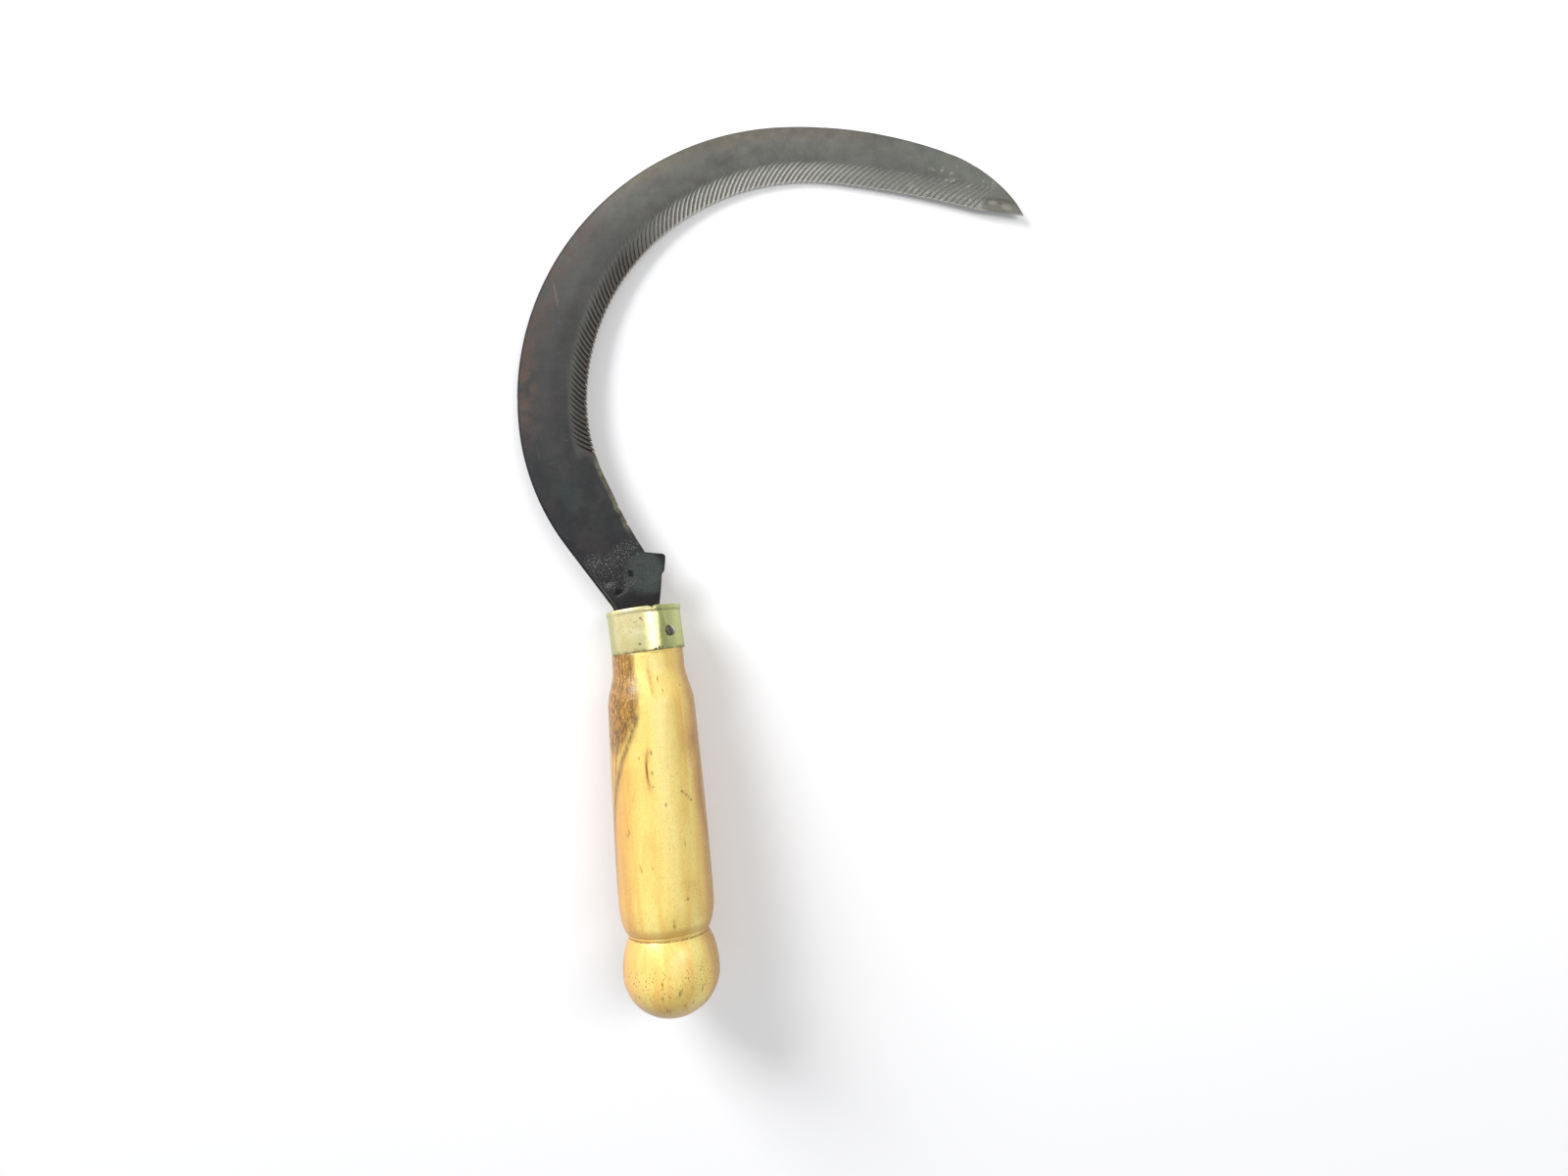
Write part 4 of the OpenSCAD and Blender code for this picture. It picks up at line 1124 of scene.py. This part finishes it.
def paint_toe(m):
    """Flakes of dirt, the plain patch between the last groove and the tip, and single marks."""
    spots = m.most(*(m.fleck(*spot, 0.6, 6) for spot in TOE_SPOTS))
    m.paint((0.56, 0.55, 0.46), spots, m.span(m.noise(m.tool, 2.6, 4, 0.8, 0.4), 0.49, 0.58), 0.8)
    around = m.fleck(137.4, 131.6, 7.6, 2.75, -15, 0.5, 2)
    m.paint((0.075, 0.069, 0.06), around, m.span(m.s, 244.5, 247.5), 0.6)
    patch = m.times(m.fleck(137.1, 131.4, 6.6, 2.1, -15, 0.4, 3.4), m.span(m.s, 245.5, 248))
    m.paint((0.19, 0.184, 0.156), patch, 0.75)
    light = m.most(m.fleck(134.4, 133.4, 1.5, 0.8, -10, 0.5, 4), m.fleck(139.5, 131.2, 1.9, 0.9, -20, 0.5, 4))
    m.paint((0.36, 0.34, 0.27), light, patch, 0.5)
    # a streak and a spot of rust at the tip, a shiny rub by the back and a scratch on the belly
    m.paint((0.32, 0.25, 0.2), m.fleck(144.8, 129.6, 1.5, 0.32, -58, 0.5, 3), 0.6)
    m.paint((0.17, 0.075, 0.055), m.fleck(137.2, 132.8, 0.6, 0.4, -30, 0.5, 3), 0.7)
    m.paint((0.6, 0.58, 0.5), m.fleck(121.3, 152.5, 2.2, 0.34, -17, 0.5, 3), 0.8)
    m.paint((0.26, 0.21, 0.19), m.fleck(-22.6, 113.6, 0.28, 4.6, 8, 0.4, 4), 0.35)


def dress_blade(ob):
    m = Steel()
    paint_ground(m, m.s, m.w, m.back)
    paint_teeth(m, m.s, m.w)
    paint_rims(m, m.s, m.w, m.back)
    specks = paint_neck(m)
    paint_toe(m)
    m.paint((0.028, 0.027, 0.027), m.attr("pits"), 1.3)
    m.shade(m.ramp(m.along, (0, (0.5, 0.5, 0.5)), (0.04, (0.76, 0.76, 0.77)), (0.3, (0.82, 0.82, 0.83)),
                   (0.5, (0.88, 0.89, 0.89)), (0.68, (0.87, 0.88, 0.89)), (0.85, (0.84, 0.85, 0.87))))
    # painted highlight on the shallow walls, most of all at the crown, in part bare fresh-cut steel that is
    # less of a mirror
    glint_and_bare_steel = m.times(m.gentle, m.span(m.s, 108, 146), m.span(m.s, 222, 176, 0.42),
                     m.span(m.fine, 0.3, 0.52, 0.55))
    m.paint((0.98, 0.97, 0.92), glint_and_bare_steel)
    roughness = m.plus(m.even(m.mid, 0.2, 0.8, 0.4, 0.56), m.times(m.grit, 0.08), m.times(m.steep, 0.25))
    brushed = m.noise(m.scaled(m.attr("place", "Vector"), 0.25, 5, 0), 1, 3, 0.6)
    height = m.plus(m.times(m.fine, 0.6), m.times(m.grit, 0.35), m.times(brushed, 0.35), m.times(specks, 0.8))
    m.finish(ob, m.plus(m.times(glint_and_bare_steel, -0.62), 0.82), roughness, height, 0.35, 0.00006)


def paint_figure(m, tool, grain, mottle, speck):
    """Stains, the dark figured patch, ochre between brown blotches, and the dark strokes."""
    stain, figure = m.attr("stain"), m.attr("figure")
    m.paint((0.62, 0.29, 0.075), stain, m.span(grain, 0.25, 0.75, 0.55))
    patch = m.ramp(mottle, (0.37, (0.1, 0.042, 0.01)), (0.47, (0.26, 0.125, 0.028)),
                   (0.57, (0.52, 0.25, 0.045)), (0.69, (0.8, 0.45, 0.09)))
    m.paint(patch, figure, 0.92)
    greyish = m.noise(m.scaled(tool, 0.3, 0.1, 0.3), 1, 2, 0.5)
    m.paint((0.34, 0.23, 0.085), figure, m.span(greyish, 0.45, 0.6, 0, 0.15))
    m.paint((0.12, 0.048, 0.012), m.span(speck, 0.53, 0.62), m.most(figure, m.times(stain, 0.5)), 0.8)
    uneven = m.span(m.noise(m.scaled(tool, 3, 0.5, 3), 1, 4, 0.6), 0.3, 0.62, 0.55, 1.3)
    m.paint((0.15, 0.1, 0.038), m.attr("dark"), uneven, 0.95)


def dress_handle(ob):
    m = Mat("turned_wood")
    tool = m.attr("tool", "Vector")
    u, z, _ = m.xyz(m.attr("around", "Vector"))
    grain = m.noise(m.scaled(tool, 1.5, 0.055, 1.5), 1, 5, 0.62, 1.4)
    broad = m.noise(m.scaled(tool, 0.16, 0.012, 0.16), 1, 3, 0.5, 1.2)
    fibre = m.noise(m.scaled(tool, 5.5, 0.22, 5.5), 1, 4, 0.6)
    mottle = m.noise(m.scaled(tool, 1.25, 0.42, 1.25), 1, 4, 0.7, 0.5)
    fleck = m.noise(m.scaled(tool, 2.6, 0.8, 2.6), 1, 3, 0.65)
    speck = m.noise(m.scaled(tool, 4.5, 2.2, 4.5), 1, 2, 0.6)
    m.colour = m.ramp(broad, (0.3, (0.95, 0.61, 0.16)), (0.48, (0.98, 0.74, 0.21)), (0.66, (1, 0.85, 0.29)))
    # painted shade over the flanks, in a deeper orange
    m.paint(m.ramp(broad, (0.35, (0.68, 0.34, 0.075)), (0.6, (0.8, 0.46, 0.115))), m.attr("shade"))
    m.paint((0.76, 0.45, 0.13), m.span(grain, 0.5, 0.76, 0, 0.36))
    m.paint((0.66, 0.36, 0.1), m.span(fibre, 0.5, 0.76, 0, 0.34))
    m.paint((0.55, 0.28, 0.075), m.span(speck, 0.56, 0.68, 0, 0.55))
    m.paint((0.64, 0.33, 0.08), m.span(fleck, 0.55, 0.7, 0, 0.34))
    paint_figure(m, tool, grain, mottle, speck)
    # pores on the pommel's end grain, as a band of dots and as ticks nearer the butt
    dots = m.times(m.span(m.cells(tool, 0.95), 0.3, 0.17), m.span(mottle, 0.36, 0.5), m.span(z, 20.5, 17.5),
                   m.span(z, 11.5, 14))
    ticks = m.times(m.span(m.cells(m.scaled(tool, 1.5, 0.36, 1.5), 1), 0.2, 0.1), m.span(z, 15, 12),
                    m.span(z, 1.5, 4))
    dots = m.most(dots, ticks)
    m.paint((0.28, 0.11, 0.025), dots, 0.85)
    m.paint((0.13, 0.055, 0.015), m.attr("pore"), 1.05)
    # painted shade in the waist, above its cut
    m.paint((0.56, 0.29, 0.075), m.near(z, 29.5, 2.4, 0.2), 0.5)
    # a dotted dark line along the fine cut
    m.paint((0.16, 0.075, 0.02), m.near(z, 27.05, 0.25, 0.08), m.span(fleck, 0.4, 0.55, 0.25, 0.85))
    # painted shade towards the butt, where the pommel rounds away
    m.paint((0.56, 0.3, 0.085), m.span(z, 9, 0.5), 0.7)
    # painted shade along both flanks, where the side turns from view
    m.paint((0.46, 0.24, 0.065), m.near(u, -1.5, 15, 22.5), m.span(fleck, 0.3, 0.6, 0.45, 0.9))
    # darker on the end under the ferrule
    m.paint((0.35, 0.22, 0.11), m.span(z, 135.7, 136), 0.6)
    m.give(("Specular IOR Level", 0.45), ("Coat Weight", 0.3), ("Coat Roughness", 0.22))
    height = m.plus(m.times(fibre, 0.6), m.times(grain, 0.4), m.times(dots, -0.7))
    m.finish(ob, 0, m.even(grain, 0.2, 0.8, 0.36, 0.5), height, 0.3, 0.00007)


def dress_ferrule(ob):
    m = Mat("old_brass")
    tool = m.attr("tool", "Vector")
    turn, y, _ = m.xyz(m.attr("around", "Vector"))
    green = m.attr("green")
    big = m.noise(tool, 0.14, 3, 0.55, 0.5)
    mid = m.noise(tool, 0.6, 4, 0.6)
    fine = m.noise(tool, 3.2, 4, 0.65)
    m.colour = m.ramp(big, (0.3, (0.72, 0.63, 0.29)), (0.5, (0.82, 0.74, 0.39)), (0.7, (0.9, 0.84, 0.5)))
    m.paint((0.56, 0.52, 0.21), m.span(y, -7, -13, 0, 0.45))
    # a tan band left of the middle, a painted reflection broken into patches; then tarnish on the flat,
    # painted shade in olive over the left side, and tarnish in patches
    m.paint((0.78, 0.58, 0.27), m.near(turn, -30, 24, 4), m.span(mid, 0.4, 0.62), 0.5)
    m.paint((0.44, 0.5, 0.2), m.plus(m.times(green, 0.8), m.span(mid, 0.5, 0.7, 0, 0.2)))
    # painted shade: the left side darker, in olive
    m.paint((0.4, 0.42, 0.18), m.span(turn, -36, -58), 0.75)
    m.paint((0.44, 0.36, 0.19), m.span(fine, 0.55, 0.75, 0, 0.3))
    # dirt along the lower edge and in the pits, and a darker band under the folded rim
    m.paint((0.12, 0.09, 0.05), m.span(y, -13.4, -14.9), m.span(mid, 0.35, 0.6), 0.6)
    m.paint((0.22, 0.22, 0.1), m.near(y, -1.8, 0.5, 0.15), green, 0.6)
    m.paint((0.03, 0.025, 0.02), m.attr("pit"), 1.1)
    # the front's left half is dull and creamy, so less of a mirror
    dull = m.times(m.span(turn, -56, -36), m.span(turn, 22, 2))
    roughness = m.plus(m.even(mid, 0.2, 0.8, 0.3, 0.42), m.span(fine, 0.5, 0.8, 0, 0.1))
    height = m.plus(m.times(fine, 0.5), m.times(mid, 0.6))
    m.finish(ob, m.plus(m.times(dull, -0.42), 0.8), roughness, height, 0.25, 0.00008)


def dress_nail(ob):
    m = Mat("nail_iron")
    local = m.attr("local", "Vector")
    x, y, _ = m.xyz(local)
    broad = m.noise(local, 1.6, 4, 0.6)
    fine = m.noise(local, 5, 3, 0.6)
    m.colour = m.ramp(broad, (0.3, (0.05, 0.045, 0.04)), (0.55, (0.14, 0.12, 0.1)), (0.75, (0.3, 0.28, 0.25)))
    # the scratch, pale and in part a painted reflection, rust spots, and a painted highlight on one side of
    # the head
    m.paint((0.62, 0.58, 0.5), m.near(x, y, 0.34, 0.1), 0.35)
    m.paint((0.03, 0.025, 0.02), m.span(fine, 0.56, 0.66, 0, 0.7))
    painted_glint = m.times(m.span(m.plus(m.times(x, 0.85), m.times(y, 0.5)), 0.45, 0.95), m.span(fine, 0.62, 0.5))
    m.paint((0.86, 0.84, 0.72), painted_glint)
    m.finish(ob, m.plus(m.times(painted_glint, -0.6), 0.7), m.even(fine, 0.3, 0.7, 0.3, 0.55), fine, 0.4, 0.00008)


dress_blade(build_blade())
dress_handle(build_handle())
dress_ferrule(build_ferrule())
dress_nail(build_nail())


# Floor, lights and camera, in metres
def build_floor(reach, glow):
    """A plain pale floor that is lifted to white where the camera and reflections see it."""
    me = bpy.data.meshes.new("floor")
    corners = [(-reach, -reach, 0), (reach, -reach, 0), (reach, reach, 0), (-reach, reach, 0)]
    me.from_pydata(corners, [], [(0, 1, 2, 3)])
    m = Mat("pale_floor")
    m.give(("Base Color", (0.86, 0.86, 0.87)), ("Roughness", 0.9), ("Specular IOR Level", 0.1))
    path = m.node("LightPath").outputs
    seen = m.plus(path["Is Camera Ray"], path["Is Glossy Ray"], path["Is Transmission Ray"])
    lifted = m.node("Emission", (1, 1, 1), m.times(m.math("MINIMUM", seen, 1), glow))
    both = m.node("AddShader", m.shader.outputs[0], lifted.outputs[0])
    m.feed(m.output.inputs[0], both.outputs[0])
    me.materials.append(m.material)
    return place("floor", me)


def add_lamp(name, location, size, power, colour):
    """A rectangular lamp that looks at the part's middle."""
    lamp = bpy.data.lights.new(name, "AREA")
    lamp.shape = "RECTANGLE"
    lamp.size, lamp.size_y = size
    lamp.energy = power
    lamp.color = colour
    ob = place(name, lamp)
    ob.location = location
    ob.rotation_euler = (-mathutils.Vector(location)).to_track_quat("-Z", "Y").to_euler()


def add_world(colour, strength):
    world = bpy.data.worlds.new("studio")
    world.use_nodes = True
    background = world.node_tree.nodes["Background"]
    background.inputs["Color"].default_value = (*colour, 1)
    background.inputs["Strength"].default_value = strength
    bpy.context.scene.world = world


def add_camera(location, turn):
    """Straight down from close by, as in the photo, and turned a little."""
    data = bpy.data.cameras.new("camera")
    data.sensor_width = 36
    data.lens = 22.05
    data.clip_start = 0.01
    camera = place("camera", data)
    camera.location = location
    camera.rotation_euler = (0, 0, math.radians(turn))
    bpy.context.scene.camera = camera


build_floor(6, 0.13)
add_lamp("key", (0.52, 0.16, 0.95), (0.3, 0.7), 5, (1, 0.99, 0.97))
add_lamp("low_left", (-0.93, 1.02, 0.67), (0.75, 0.75), 29, (1, 1, 1))
add_world((0.94, 0.965, 1), 0.32)
add_camera((-0.004354, -0.01255, 0.345), -5)
bpy.context.scene.view_settings.view_transform = "Standard"
